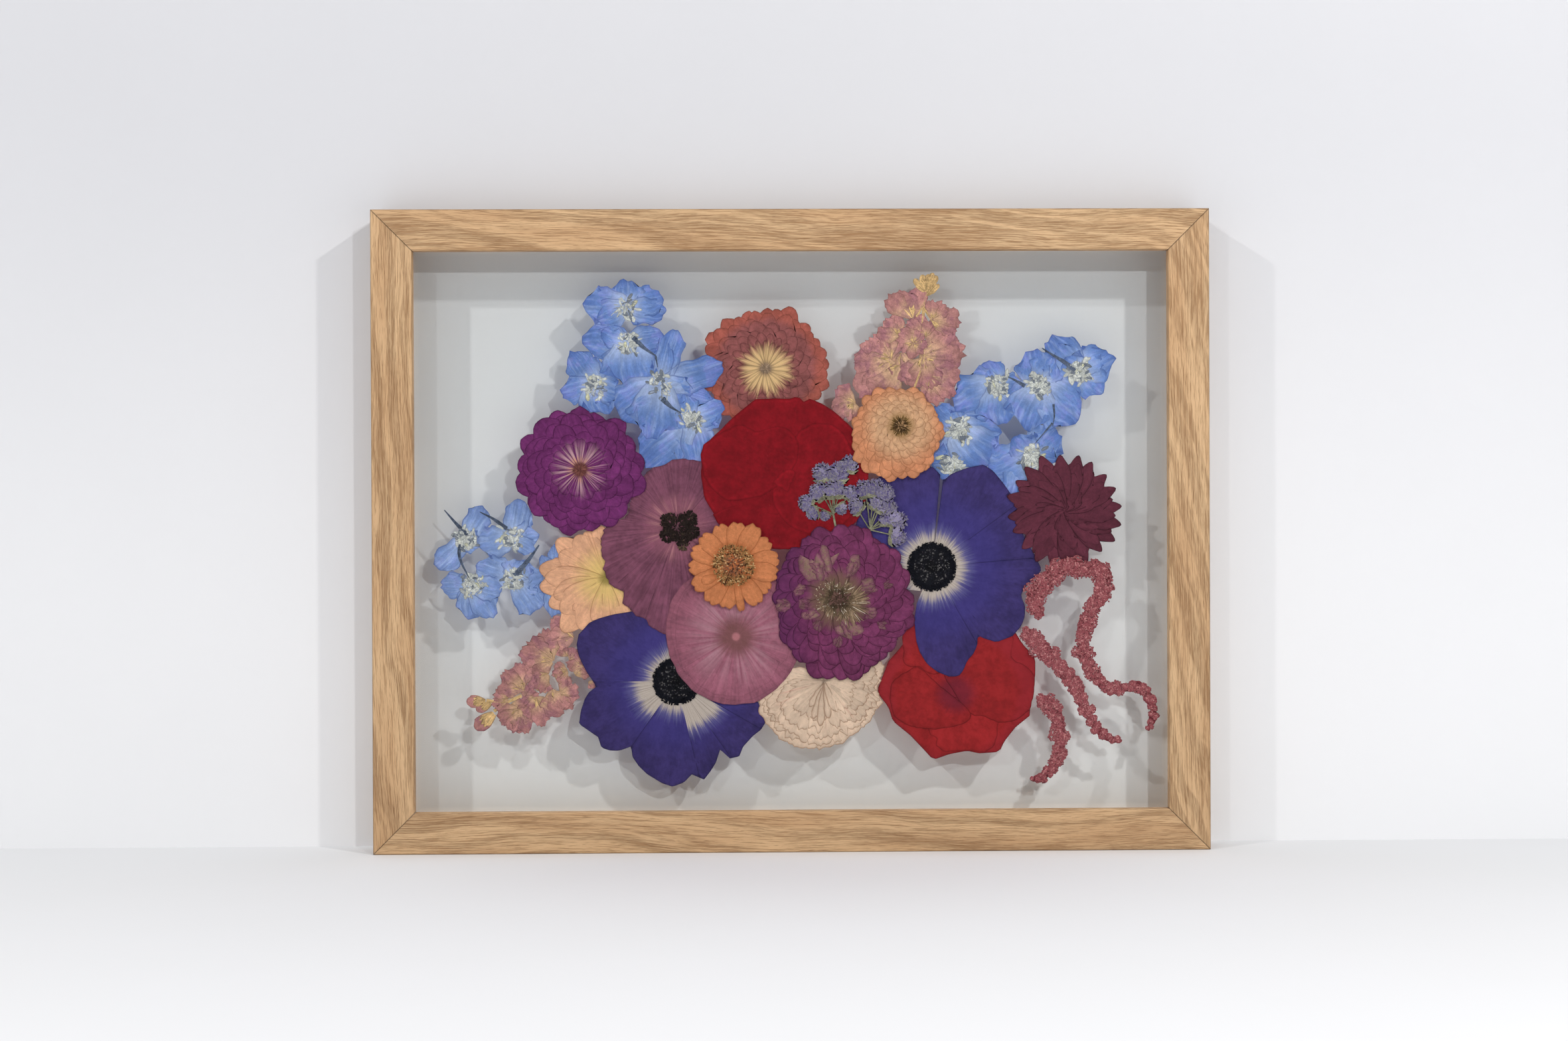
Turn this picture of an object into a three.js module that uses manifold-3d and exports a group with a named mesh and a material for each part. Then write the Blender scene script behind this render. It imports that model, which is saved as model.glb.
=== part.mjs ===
// A glazed oak frame that holds pressed flowers between two panes of clear glass.
// Millimetres, +Z up. The frame stands upright: its width runs along X, its height along Z and its
// depth along Y, with the face that is looked at towards -Y. The origin is at the middle of the
// footprint, on the surface that the frame stands on.
//
// Four oak rails with mitred ends carry a rabbet behind a narrow lip. The front pane rests against the
// lip, the specimens lie on each other in the gap behind it, and the back pane is held by steel
// glazing points that are pushed into slots in the rabbet's wall.

import * as THREE from "three";
import { mergeVertices } from "three/addons/utils/BufferGeometryUtils.js";
import Module from "manifold-3d";

// ---- driving dimensions ----

const GLASS_WIDTH = 406.4; // 16 inches
const GLASS_HEIGHT = 304.8; // 12 inches
const GLASS_THICKNESS = 2;
const LIP_COVER = 6.35; // how far the lip laps over the glass
const GLASS_PLAY = 1; // between the edge of the glass and the rabbet's wall
const FACE = 21.5; // width of a rail, seen from the front
const DEPTH = 28; // of the frame, front to back
const LIP_THICKNESS = 6;
const FLOWER_GAP = 3.4; // between the two panes
const SEAT_GAP = 0.2; // between pieces that rest on each other
const MITRE_GAP = 0.1; // glue line at each corner
const EASED_EDGE = 0.9; // radius on the rails' front edges
const BACK_EDGE = 0.6; // chamfer on the rails' back edge

const POINT_LENGTH = 12;
const POINT_WIDTH = 6;
const POINT_THICKNESS = 0.4;
const POINT_IN_WOOD = 6.2; // how deep a glazing point goes into its slot
const POINT_CLEARANCE = 0.3;
const POINTS_ALONG_WIDTH = 3;
const POINTS_ALONG_HEIGHT = 2;

// ---- derived dimensions ----

const SIGHT_WIDTH = GLASS_WIDTH - 2 * LIP_COVER;
const SIGHT_HEIGHT = GLASS_HEIGHT - 2 * LIP_COVER;
const WIDTH = SIGHT_WIDTH + 2 * FACE;
const HEIGHT = SIGHT_HEIGHT + 2 * FACE;
const WALL = FACE - LIP_COVER - GLASS_PLAY; // wood beside the rabbet
const FRONT = -DEPTH / 2;

// Distances behind the frame's front face.
const FRONT_PANE = LIP_THICKNESS + SEAT_GAP;
const GAP_START = FRONT_PANE + GLASS_THICKNESS;
const BACK_PANE = GAP_START + FLOWER_GAP;
const POINT_START = BACK_PANE + GLASS_THICKNESS + SEAT_GAP;

const wasm = await Module();
wasm.setup();

// ---- solids ----

function solid(geometry) {
  const bare = geometry.clone();
  bare.deleteAttribute("normal");
  bare.deleteAttribute("uv");
  const merged = mergeVertices(bare, 1e-4);
  return new wasm.Manifold(
    new wasm.Mesh({
      numProp: 3,
      vertProperties: new Float32Array(merged.attributes.position.array),
      triVerts: new Uint32Array(merged.index.array),
    }),
  );
}

function geometryOf(manifold) {
  const mesh = manifold.getMesh();
  const geometry = new THREE.BufferGeometry();
  geometry.setAttribute("position", new THREE.BufferAttribute(mesh.vertProperties, 3));
  geometry.setIndex(new THREE.BufferAttribute(mesh.triVerts, 1));
  const flat = geometry.toNonIndexed();
  flat.computeVertexNormals();
  return flat;
}

function joined(geometries) {
  const solids = geometries.map(solid);
  return geometryOf(solids.reduce((whole, next) => whole.add(next)));
}

function finish(color, roughness, metalness = 0) {
  return new THREE.MeshStandardMaterial({ color, roughness, metalness });
}

function named(name, geometry, material) {
  const mesh = new THREE.Mesh(geometry, material);
  mesh.name = name;
  return mesh;
}

// ---- the oak rails ----

// The rail's section: x is the distance in from the frame's outer edge, y the depth from the front.
function railSection() {
  const shape = new THREE.Shape();
  shape.moveTo(0, EASED_EDGE);
  shape.absarc(EASED_EDGE, EASED_EDGE, EASED_EDGE, Math.PI, 1.5 * Math.PI, false);
  shape.lineTo(FACE - EASED_EDGE, 0);
  shape.absarc(FACE - EASED_EDGE, EASED_EDGE, EASED_EDGE, 1.5 * Math.PI, 2 * Math.PI, false);
  shape.lineTo(FACE, LIP_THICKNESS);
  shape.lineTo(WALL, LIP_THICKNESS);
  shape.lineTo(WALL, DEPTH);
  shape.lineTo(BACK_EDGE, DEPTH);
  shape.lineTo(0, DEPTH - BACK_EDGE);
  return shape;
}

// The middles of the glazing points on a rail, measured along it from its own middle.
function pointPlaces(length, count) {
  const spacing = length / count;
  return Array.from({ length: count }, (_, i) => (i - (count - 1) / 2) * spacing);
}

// A rail lying along X with its outer edge at y = 0 and its front at z = 0, cut to 45 degrees at both
// ends, with a slot in the rabbet's wall for each glazing point.
function railGeometry(length, places) {
  const blank = new THREE.ExtrudeGeometry(railSection(), {
    depth: length,
    bevelEnabled: false,
    curveSegments: 3,
  });
  const position = blank.attributes.position;
  for (let i = 0; i < position.count; i += 1) {
    const inward = position.getX(i);
    const depth = position.getY(i);
    const end = position.getZ(i) > length / 2 ? 1 : -1;
    const half = length / 2 - MITRE_GAP / Math.SQRT2 - inward;
    position.setXYZ(i, end * half, inward, depth);
  }
  let rail = solid(blank);
  if (rail.volume() < 0) throw new Error("the rail is inside out");
  for (const place of places) {
    const reach = POINT_IN_WOOD + POINT_CLEARANCE;
    const slot = new THREE.BoxGeometry(
      POINT_WIDTH + 2 * POINT_CLEARANCE,
      reach + 1,
      POINT_THICKNESS + 2 * POINT_CLEARANCE,
    );
    slot.translate(place, WALL - reach / 2 + 0.5, POINT_START + POINT_THICKNESS / 2);
    rail = rail.subtract(solid(slot));
  }
  return geometryOf(rail);
}

// A glazing point in the rail's own axes: a thin blade with an arrow end in the wood.
function pointGeometry() {
  const half = POINT_WIDTH / 2;
  const shape = new THREE.Shape();
  shape.moveTo(-half, POINT_LENGTH);
  shape.lineTo(-half, half);
  shape.lineTo(0, 0);
  shape.lineTo(half, half);
  shape.lineTo(half, POINT_LENGTH);
  const blade = new THREE.ExtrudeGeometry(shape, { depth: POINT_THICKNESS, bevelEnabled: false });
  blade.translate(0, WALL - POINT_IN_WOOD, POINT_START);
  return blade;
}

// A side of the frame: its rail and its points, in a group that turns the rail's own axes to the side's.
function frameSide(name, length, turn, distance, pointCount) {
  const side = new THREE.Group();
  const places = pointPlaces(length - 2 * FACE, pointCount);
  side.add(named("rail_" + name, railGeometry(length, places), finish(0xc9a273, 0.6)));
  places.forEach((place, i) => {
    const point = named(`glazing_point_${name}_${i + 1}`, pointGeometry(), finish(0x9a9a98, 0.4, 1));
    point.position.x = place;
    side.add(point);
  });
  // Rail axes: x along the rail, y inwards, z backwards. World: y backwards.
  const stand = new THREE.Group();
  stand.rotation.x = -Math.PI / 2; // y inwards becomes -Z, z backwards becomes +Y
  stand.add(side);
  const around = new THREE.Group();
  around.rotation.y = turn;
  side.position.y = -distance;
  around.add(stand);
  around.position.set(0, FRONT, HEIGHT / 2);
  return around;
}

// ---- the panes ----

function pane(name, start) {
  const geometry = new THREE.BoxGeometry(GLASS_WIDTH, GLASS_THICKNESS, GLASS_HEIGHT);
  const material = finish(0xf2f7f6, 0.05);
  material.transparent = true;
  material.opacity = 0.2;
  const mesh = named(name, geometry, material);
  // The glass stands on the bottom rail's rabbet.
  const drop = GLASS_PLAY - SEAT_GAP;
  mesh.position.set(0, FRONT + start + GLASS_THICKNESS / 2, HEIGHT / 2 - drop);
  return mesh;
}

// ---- outlines of specimens, in the plane of the panes: x to the right, y up ----

const radians = (degrees) => (degrees * Math.PI) / 180;

function angleBetween(a, b) {
  const turn = Math.abs(a - b) % 360;
  return Math.min(turn, 360 - turn);
}

// The outline round a flower's petals, each given as [direction, reach, spread] in degrees and
// millimetres, with a disc of the core's radius between them.
function petalOutline(petals, core, steps) {
  const points = [];
  for (let i = 0; i < steps; i += 1) {
    const direction = (360 * i) / steps;
    let reach = core;
    for (const [angle, length, spread] of petals) {
      const off = angleBetween(direction, angle) / (spread / 2);
      if (off < 1) reach = Math.max(reach, length * Math.pow(1 - Math.pow(off, 2.6), 0.45));
    }
    const turn = radians(direction);
    points.push(new THREE.Vector2(reach * Math.cos(turn), reach * Math.sin(turn)));
  }
  return new THREE.Shape(points);
}

// A round flower head whose rim is a row of petal tips.
function scallopOutline(halfWidth, halfHeight, tips, dip) {
  const points = [];
  const steps = tips * (tips < 12 ? 8 : 4);
  for (let i = 0; i < steps; i += 1) {
    const turn = (2 * Math.PI * i) / steps;
    const rim = 1 - dip * Math.pow(Math.abs(Math.sin((tips * turn) / 2)), 3);
    points.push(
      new THREE.Vector2(halfWidth * rim * Math.cos(turn), halfHeight * rim * Math.sin(turn)),
    );
  }
  return new THREE.Shape(points);
}

// A star of even petals.
function evenPetals(count, reach, turn = 0) {
  const spread = (360 / count) * 1.25;
  return Array.from({ length: count }, (_, i) => [turn + (360 * i) / count, reach, spread]);
}

function outlineThrough(points) {
  return new THREE.Shape(points.map(([x, y]) => new THREE.Vector2(x, y)));
}

// A strip along a smooth curve, as wide as width(t) says at each share t of its length.
function stripOutline(points, width, steps) {
  const curve = new THREE.SplineCurve(points.map(([x, y]) => new THREE.Vector2(x, y)));
  const left = [];
  const right = [];
  for (let i = 0; i <= steps; i += 1) {
    const t = i / steps;
    const at = curve.getPointAt(t);
    const along = curve.getTangentAt(t);
    const side = new THREE.Vector2(-along.y, along.x).multiplyScalar(width(t) / 2);
    left.push(at.clone().add(side));
    right.unshift(at.clone().sub(side));
  }
  return new THREE.Shape([...right, ...left]);
}

// A flat plate of this outline, centred at [x, y], between two depths behind the frame's front face.
function plate(outline, [x, y], [near, far]) {
  const geometry = new THREE.ExtrudeGeometry(outline, { depth: far - near, bevelEnabled: false });
  geometry.rotateX(Math.PI / 2); // the outline's y becomes +Z, and the plate grows towards the front
  geometry.translate(x, FRONT + far, y + HEIGHT / 2);
  return geometry;
}

// ---- where the specimens lie, as depths behind the front face, from the front pane backwards ----

const LAYER = {
  top: [8.3, 8.75],
  high: [8.85, 9.4],
  sprig: [9.45, 9.8],
  purple: [9.45, 10.1],
  petals: [9.9, 10.2],
  spray: [10.6, 10.85],
  middle: [10.3, 10.55],
  anemone: [10.65, 10.85],
  low: [10.9, 11.2],
  thick_low: [10.95, 11.5],
  back: [11.25, 11.55],
};

// ---- the specimens ----

function roundHeads() {
  const heads = [
    // name, centre, half width, half height, rim petals, depth of the notches, layer, colour
    ["terracotta_zinnia", [-11.8, 85.2], 32.8, 33, 20, 0.07, LAYER.thick_low, 0xa8554a],
    ["purple_zinnia", [-111.3, 32.8], 33, 32.8, 18, 0.07, LAYER.purple, 0x6a2a66],
    ["crimson_rose", [-3.2, 31.1], 44.4, 41, 7, 0.05, LAYER.petals, 0x7f1620],
    ["peach_zinnia", [55, 50.8], 24.7, 24.7, 22, 0.06, LAYER.high, 0xd98a55],
    ["burgundy_chrysanthemum", [142.7, 10.5], 29.8, 28.2, 22, 0.13, LAYER.middle, 0x5d2433],
    ["mauve_ranunculus", [-30.8, -54.9], 35.2, 36, 8, 0.015, LAYER.petals, 0x96506f],
    ["magenta_zinnia", [26.2, -37.8], 37, 41, 19, 0.08, LAYER.high, 0x6d2b58],
  ];
  return heads.map(([name, centre, halfWidth, halfHeight, tips, dip, layer, colour]) =>
    named(
      name,
      plate(scallopOutline(halfWidth, halfHeight, tips, dip), centre, layer),
      finish(colour, 0.85),
    ),
  );
}

function petalledFlowers() {
  const flowers = [
    // name, centre, petals, core radius, steps round, layer, colour
    ["orange_zinnia", [-30.6, -17.9], evenPetals(15, 24.3, 4), 10, 90, LAYER.top, 0xd8823f],
    ["peach_dahlia", [-98.3, -24.2], evenPetals(13, 34.5, 9), 12, 91, LAYER.low, 0xdf9f78],
  ];
  return flowers.map(([name, centre, petals, core, steps, layer, colour]) =>
    named(name, plate(petalOutline(petals, core, steps), centre, layer), finish(colour, 0.85)),
  );
}

// The seed disc that stands out from a flower's petals towards the front pane.
function eyeOn(centre, [radius, height], [near]) {
  const outline = scallopOutline(radius, radius, 12, 0.05);
  return plate(outline, centre, [near - height, near + 0.05]);
}

function looseOutlines() {
  const shapes = [
    // name, points round the outline, layer, colour, [centre, [radius, height]] of its eye
    [
      "anemone_right",
      [
        [44.5, 27],
        [60, 33.5],
        [74.5, 33.5],
        [80, 26],
        [90, 33],
        [101, 34],
        [111, 25],
        [118.5, 14.5],
        [120, 1],
        [128, -13.5],
        [131.5, -21],
        [120.5, -35],
        [122.5, -46],
        [118, -53.5],
        [107.5, -59.2],
        [97.7, -55.5],
        [97.5, -60.5],
        [92, -69],
        [89, -76],
        [82.5, -77],
        [70.5, -70],
        [65.5, -59.5],
        [64.3, -47],
        [66, -34],
        [46, -32],
        [34, -18],
        [33, 0],
        [38, 17],
      ],
      LAYER.anemone,
      0x35285f,
      [[73.7, -19.4], [13.2, 0.4]],
    ],
    [
      "anemone_left",
      [
        [-86, -42.4],
        [-102.5, -46],
        [-108.7, -50.5],
        [-113, -58],
        [-111.5, -65.5],
        [-108, -73.5],
        [-102.7, -81.5],
        [-109, -88],
        [-112, -101],
        [-101, -109],
        [-100, -113.5],
        [-91, -115],
        [-84.8, -113],
        [-84, -118.5],
        [-78, -126],
        [-68, -132.5],
        [-63, -134],
        [-53, -128],
        [-46.5, -130.5],
        [-40.5, -122],
        [-38, -115],
        [-33, -119.5],
        [-28, -118.5],
        [-26, -113.5],
        [-17.5, -104.5],
        [-14, -100.5],
        [-18, -90],
        [-36, -74],
        [-44, -56],
        [-62, -43],
        [-74, -39],
      ],
      LAYER.anemone,
      0x35265f,
      [[-60.8, -78.8], [13, 0.4]],
    ],
    [
      "mauve_poppy",
      [
        [-46, 36],
        [-61, 37.5],
        [-70.5, 34],
        [-79, 28],
        [-85, 16],
        [-87, 8],
        [-97, 4],
        [-100, -10.5],
        [-98.5, -21],
        [-96, -28],
        [-87.5, -32],
        [-83, -43.5],
        [-74, -49],
        [-66.5, -54],
        [-50, -50],
        [-38, -34],
        [-32, -12],
        [-36, 12],
        [-41, 28],
      ],
      LAYER.middle,
      0x7f4a66,
      [[-59.8, 1.4], [10.5, 0.35]],
    ],
    [
      "cream_carnation",
      [
        [17.3, -76],
        [34, -66],
        [48, -72],
        [46.5, -79],
        [47, -90.5],
        [42, -98],
        [32, -107.5],
        [25, -112.5],
        [13, -115],
        [4, -114.7],
        [-6, -110],
        [-13, -103],
        [-18, -95.5],
        [-17, -88],
        [-6, -72],
      ],
      LAYER.middle,
      0xe6cdb2,
    ],
    [
      "red_rose",
      [
        [60.5, -51],
        [58, -60.5],
        [50.5, -69],
        [44.3, -85],
        [50.5, -93],
        [52.8, -100.5],
        [62, -108],
        [74, -121],
        [82.5, -118],
        [92, -116.3],
        [98, -117.7],
        [109, -117],
        [111.5, -111.5],
        [117.5, -104],
        [125, -98],
        [125.5, -90],
        [128, -76.5],
        [128, -67],
        [121.5, -60.5],
        [117, -53],
        [100, -42],
        [76, -42],
      ],
      LAYER.low,
      0x9e2124,
    ],
  ];
  return shapes.map(([name, points, layer, colour, eye]) => {
    const head = plate(outlineThrough(points), [0, 0], layer);
    const whole = eye ? joined([head, eyeOn(eye[0], eye[1], layer)]) : head;
    return named(name, whole, finish(colour, 0.85));
  });
}

// A spray is a thin stem with its florets, each on a stalk from the nearest bend of the stem, joined in
// one solid.
function spray(name, stem, florets, floretOutline, layer, colour) {
  const nearestBend = (x, y) => {
    const distance = (bend) => Math.hypot(bend[0] - x, bend[1] - y);
    return stem.reduce((best, bend) => (distance(bend) < distance(best) ? bend : best));
  };
  const parts = [plate(stripOutline(stem, () => 2, 6), [0, 0], layer)];
  for (const [x, y, reach, turn] of florets) {
    const stalk = stripOutline([nearestBend(x, y), [x, y]], () => 1.2, 1);
    parts.push(plate(floretOutline(reach, turn), [x, y], layer));
    parts.push(plate(stalk, [0, 0], layer));
  }
  return named(name, joined(parts), finish(colour, 0.85));
}

function delphiniums() {
  const floret = (reach, turn) => petalOutline(evenPetals(5, reach, turn), 6, 20);
  return [
    spray(
      "delphinium_top",
      [
        [-84, 119],
        [-76, 96],
        [-64, 74],
        [-52, 52],
      ],
      [
        [-86.2, 117.3, 16, 20],
        [-87.2, 99.6, 18, 50],
        [-103.3, 77, 15, 0],
        [-72, 76.8, 19, 40],
        [-60.2, 85.2, 16, 15],
        [-53.6, 58.2, 17, 0],
        [-78.1, 47.4, 8, 30],
      ],
      floret,
      LAYER.spray,
      0x6f8fd0,
    ),
    spray(
      "delphinium_right",
      [
        [84, 34],
        [100, 50],
        [118, 62],
        [150, 82],
      ],
      [
        [151.3, 83.3, 17, 60],
        [131.6, 76.3, 16, 20],
        [108.5, 75.4, 14, 40],
        [88.6, 55.7, 17, 10],
        [84, 35, 14, 50],
        [121, 44, 19, 30],
      ],
      floret,
      LAYER.thick_low,
      0x6486cf,
    ),
    spray(
      "delphinium_left",
      [
        [-166, -8],
        [-150, -12],
        [-130, -20],
      ],
      [
        [-168.9, -6.2, 14, 70],
        [-147.5, -1.7, 15, 20],
        [-167.2, -29.5, 14, 50],
        [-146.8, -25, 17, 10],
        [-127.7, -23.4, 14, 35],
      ],
      floret,
      LAYER.back,
      0x7595d2,
    ),
  ];
}

function stocks() {
  const floret = (reach, turn) => petalOutline(evenPetals(4, reach, turn), reach * 0.6, 10);
  return [
    spray(
      "stock_upper",
      [
        [70, 134],
        [68.5, 108],
        [66, 80],
        [58, 60],
      ],
      [
        [69.8, 131, 5, 0],
        [60.5, 121.5, 8, 20],
        [80, 112, 9, 70],
        [66, 105, 8, 45],
        [50, 103, 9, 10],
        [47, 90, 12, 30],
        [40, 80, 11, 60],
        [81, 93, 11, 0],
        [78, 76, 12, 30],
        [59, 80, 13, 15],
        [33, 68, 10, 70],
      ],
      floret,
      [10.5, 10.85],
      0xa36a66,
    ),
    spray(
      "stock_lower",
      [
        [-170, -91],
        [-150, -91],
        [-125, -80],
        [-100, -66],
      ],
      [
        [-168, -89.5, 6, 0],
        [-161.5, -102, 7, 30],
        [-143, -102, 9, 60],
        [-147, -81, 11, 10],
        [-134, -66, 9, 45],
        [-126, -58, 9, 20],
        [-116, -67, 10, 0],
        [-129, -75, 11, 60],
        [-131, -92, 11, 30],
        [-117, -84, 11, 15],
      ],
      floret,
      LAYER.back,
      0xb78381,
    ),
  ];
}

function ageratums() {
  const head = (reach, turn) => petalOutline(evenPetals(4, reach, turn), reach * 0.85, 10);
  const left = [
    [30.1, 34.5, 4.2, 0],
    [24, 29.5, 4.8, 20],
    [16.4, 29.8, 4.4, 50],
    [13.6, 20.5, 4.6, 10],
    [7.7, 14.6, 3.8, 30],
    [11, 9.2, 3, 0],
    [22, 20.5, 4.6, 40],
    [31, 19, 3.4, 0],
    [26, 12, 3.2, 20],
  ];
  const right = [
    [33.9, 12.3, 3.2, 0],
    [38.6, 19.3, 3.9, 25],
    [43.4, 20, 4.6, 60],
    [48.6, 17.8, 4.4, 0],
    [45.5, 12.6, 4, 20],
    [50.8, 11, 3.8, 30],
    [55.4, 4.6, 4.2, 0],
    [49.8, 5.2, 3.6, 45],
    [55, -3.6, 4, 10],
  ];
  // Each head's stalk runs to where the sprig's stalks meet.
  const sprig = (name, heads, meet, foot) => {
    const outlines = heads.map(([x, y, reach, turn]) => plate(head(reach, turn), [x, y], LAYER.sprig));
    const stalk = (from, to, wide) =>
      plate(stripOutline([from, to], () => wide, 1), [0, 0], LAYER.sprig);
    const stalks = heads.map(([x, y]) => stalk([x, y], meet, 0.9));
    return named(name, joined([...outlines, ...stalks, stalk(meet, foot, 1.3)]), finish(0x6d6680, 0.9));
  };
  return [
    sprig("ageratum_left", left, [21.8, 8.6], [23.6, -1]),
    sprig("ageratum_right", right, [41.2, 0.2], [40.4, -5]),
  ];
}

function amaranths() {
  const taper = (wide, narrow) => (t) => wide + (narrow - wide) * Math.pow(t, 1.8);
  const strands = [
    [
      "amaranth_upper",
      [
        [131, -46],
        [127, -36.5],
        [134, -27],
        [144, -19],
        [153, -21],
        [162, -21],
        [164.5, -31],
        [158.5, -41],
        [153.5, -52],
        [153.5, -65],
        [158.5, -76.5],
        [166, -83],
        [175, -83.5],
        [182.5, -82.5],
        [188.5, -90],
        [190, -98],
        [187, -106],
      ],
      taper(10.5, 4),
      40,
      [8.7, 9.8],
    ],
    [
      "amaranth_middle",
      [
        [122, -53],
        [132.7, -64],
        [142.8, -75],
        [150, -84.5],
        [154, -94],
        [159.2, -103],
        [165.6, -109.5],
        [173.5, -111.5],
      ],
      taper(10, 3.5),
      20,
      [9.95, 10.55],
    ],
    [
      "amaranth_lower",
      [
        [129.5, -90],
        [134.8, -91.5],
        [139, -98],
        [140.8, -108.5],
        [140, -119],
        [135, -128],
        [126, -132],
      ],
      taper(9, 4),
      20,
      [10.4, 11.5],
    ],
  ];
  return strands.map(([name, route, width, steps, depths]) =>
    named(name, plate(stripOutline(route, width, steps), [0, 0], depths), finish(0x9c4b52, 0.9)),
  );
}

// ---- the whole ----

const frame = new THREE.Group();
frame.add(
  frameSide("top", WIDTH, 0, HEIGHT / 2, POINTS_ALONG_WIDTH),
  frameSide("right", HEIGHT, Math.PI / 2, WIDTH / 2, POINTS_ALONG_HEIGHT),
  frameSide("bottom", WIDTH, Math.PI, HEIGHT / 2, POINTS_ALONG_WIDTH),
  frameSide("left", HEIGHT, -Math.PI / 2, WIDTH / 2, POINTS_ALONG_HEIGHT),
  pane("glass_front", FRONT_PANE),
  pane("glass_back", BACK_PANE),
);

const specimens = new THREE.Group();
specimens.add(
  ...roundHeads(),
  ...petalledFlowers(),
  ...looseOutlines(),
  ...delphiniums(),
  ...stocks(),
  ...ageratums(),
  ...amaranths(),
);

const pressedFlowerFrame = new THREE.Group();
pressedFlowerFrame.add(frame, specimens);

export default pressedFlowerFrame;
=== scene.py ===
"""A glazed oak frame with a bouquet of pressed flowers between its two panes."""

import functools
import math
import random

import bmesh
import bpy
from mathutils import Matrix, Vector, noise


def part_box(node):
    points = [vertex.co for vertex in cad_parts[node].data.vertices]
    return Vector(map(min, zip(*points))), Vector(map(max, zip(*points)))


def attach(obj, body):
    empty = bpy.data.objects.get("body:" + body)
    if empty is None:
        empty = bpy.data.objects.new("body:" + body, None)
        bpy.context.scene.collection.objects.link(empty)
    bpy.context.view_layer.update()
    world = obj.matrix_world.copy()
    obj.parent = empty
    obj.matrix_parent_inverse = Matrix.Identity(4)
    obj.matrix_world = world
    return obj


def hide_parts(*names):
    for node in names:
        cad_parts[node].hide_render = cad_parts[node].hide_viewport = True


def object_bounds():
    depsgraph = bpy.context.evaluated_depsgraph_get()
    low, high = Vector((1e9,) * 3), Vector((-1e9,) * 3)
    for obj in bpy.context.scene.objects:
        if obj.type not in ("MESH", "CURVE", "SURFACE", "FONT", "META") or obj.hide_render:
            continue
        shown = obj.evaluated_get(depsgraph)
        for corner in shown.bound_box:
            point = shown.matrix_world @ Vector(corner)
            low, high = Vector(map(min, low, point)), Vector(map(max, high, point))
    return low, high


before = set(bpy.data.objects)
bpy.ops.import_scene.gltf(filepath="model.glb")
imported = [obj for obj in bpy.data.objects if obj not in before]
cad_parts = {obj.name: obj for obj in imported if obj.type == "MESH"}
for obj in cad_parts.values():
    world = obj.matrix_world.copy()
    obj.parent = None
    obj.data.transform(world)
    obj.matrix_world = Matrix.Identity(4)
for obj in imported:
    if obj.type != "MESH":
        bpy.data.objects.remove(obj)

bl_info = {
    "name": "Pressed flower frame",
    "version": (1, 0, 0),
    "blender": (4, 5, 0),
    "location": "3D View > Sidebar > Flowers",
    "description": "Builds pressed flowers, oak and glass round the frame's CAD parts",
    "category": "Object",
}

CAD_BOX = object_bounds()
MM = 0.001
WIDTH = CAD_BOX[1].x - CAD_BOX[0].x
HEIGHT = CAD_BOX[1].z - CAD_BOX[0].z
MIDDLE = (CAD_BOX[0].z + CAD_BOX[1].z) / 2
BACK = CAD_BOX[1].y
# Room kept in front of a specimen's highest threads, in millimetres.
FRONT_ROOM = 0.12
# How strongly dry petals and other plain surfaces shine.
PETAL_GLOSS = 0.16
PLAIN_GLOSS = 0.5
OAK_GLOSS = 0.35
# Edges with a larger angle than this, in radians, stay sharp.
SHARP = 1.1
# Grains made before they are added to their specimen, counted in vertices.
GRAIN_BATCH = 2000
# Points round a circle of radius 1.
CORNERS = 24
ROUND = [
    (math.cos(math.tau * i / CORNERS), math.sin(math.tau * i / CORNERS)) for i in range(CORNERS)
]

# ---- colours and sizes that a user would change ----


def display(*levels):
    """The linear colour of three display levels from 0 to 255."""
    shares = [level / 255 for level in levels]
    return tuple(s / 12.92 if s < 0.04045 else ((s + 0.055) / 1.055) ** 2.4 for s in shares)


def tint(name, words, *levels):
    """A colour property."""
    return bpy.props.FloatVectorProperty(
        name=name, description=words, default=display(*levels), size=3, min=0, max=1, subtype="COLOR"
    )


def distance(name, words, millimetres):
    """A length property."""
    return bpy.props.FloatProperty(
        name=name, description=words, default=millimetres * MM, subtype="DISTANCE", unit="LENGTH"
    )


class FrameLooks(bpy.types.PropertyGroup):
    """Colours of the oak, the glass and the stage."""

    oak: tint("Oak", "Summer wood between the pores", 216, 179, 136)
    oak_warm: tint("Warm oak", "Broad warmer bands in the oak", 200, 160, 118)
    oak_pore: tint("Pores", "Long dark pores of the spring wood", 138, 96, 58)
    glass: tint("Glass", "Tint of a pane", 252, 254, 253)
    steel: tint("Steel", "Glazing points", 150, 150, 148)
    wall: tint("Wall", "Wall behind the frame, near the table", 249, 249, 250)
    table: tint("Table", "Surface that the frame stands on", 240, 240, 240)
    wall_gap: distance("Gap to the wall", "Between the frame's back and the wall", 2)
    sheet: distance("Petal thickness", "Thickness of a dried petal", 0.05)


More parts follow.
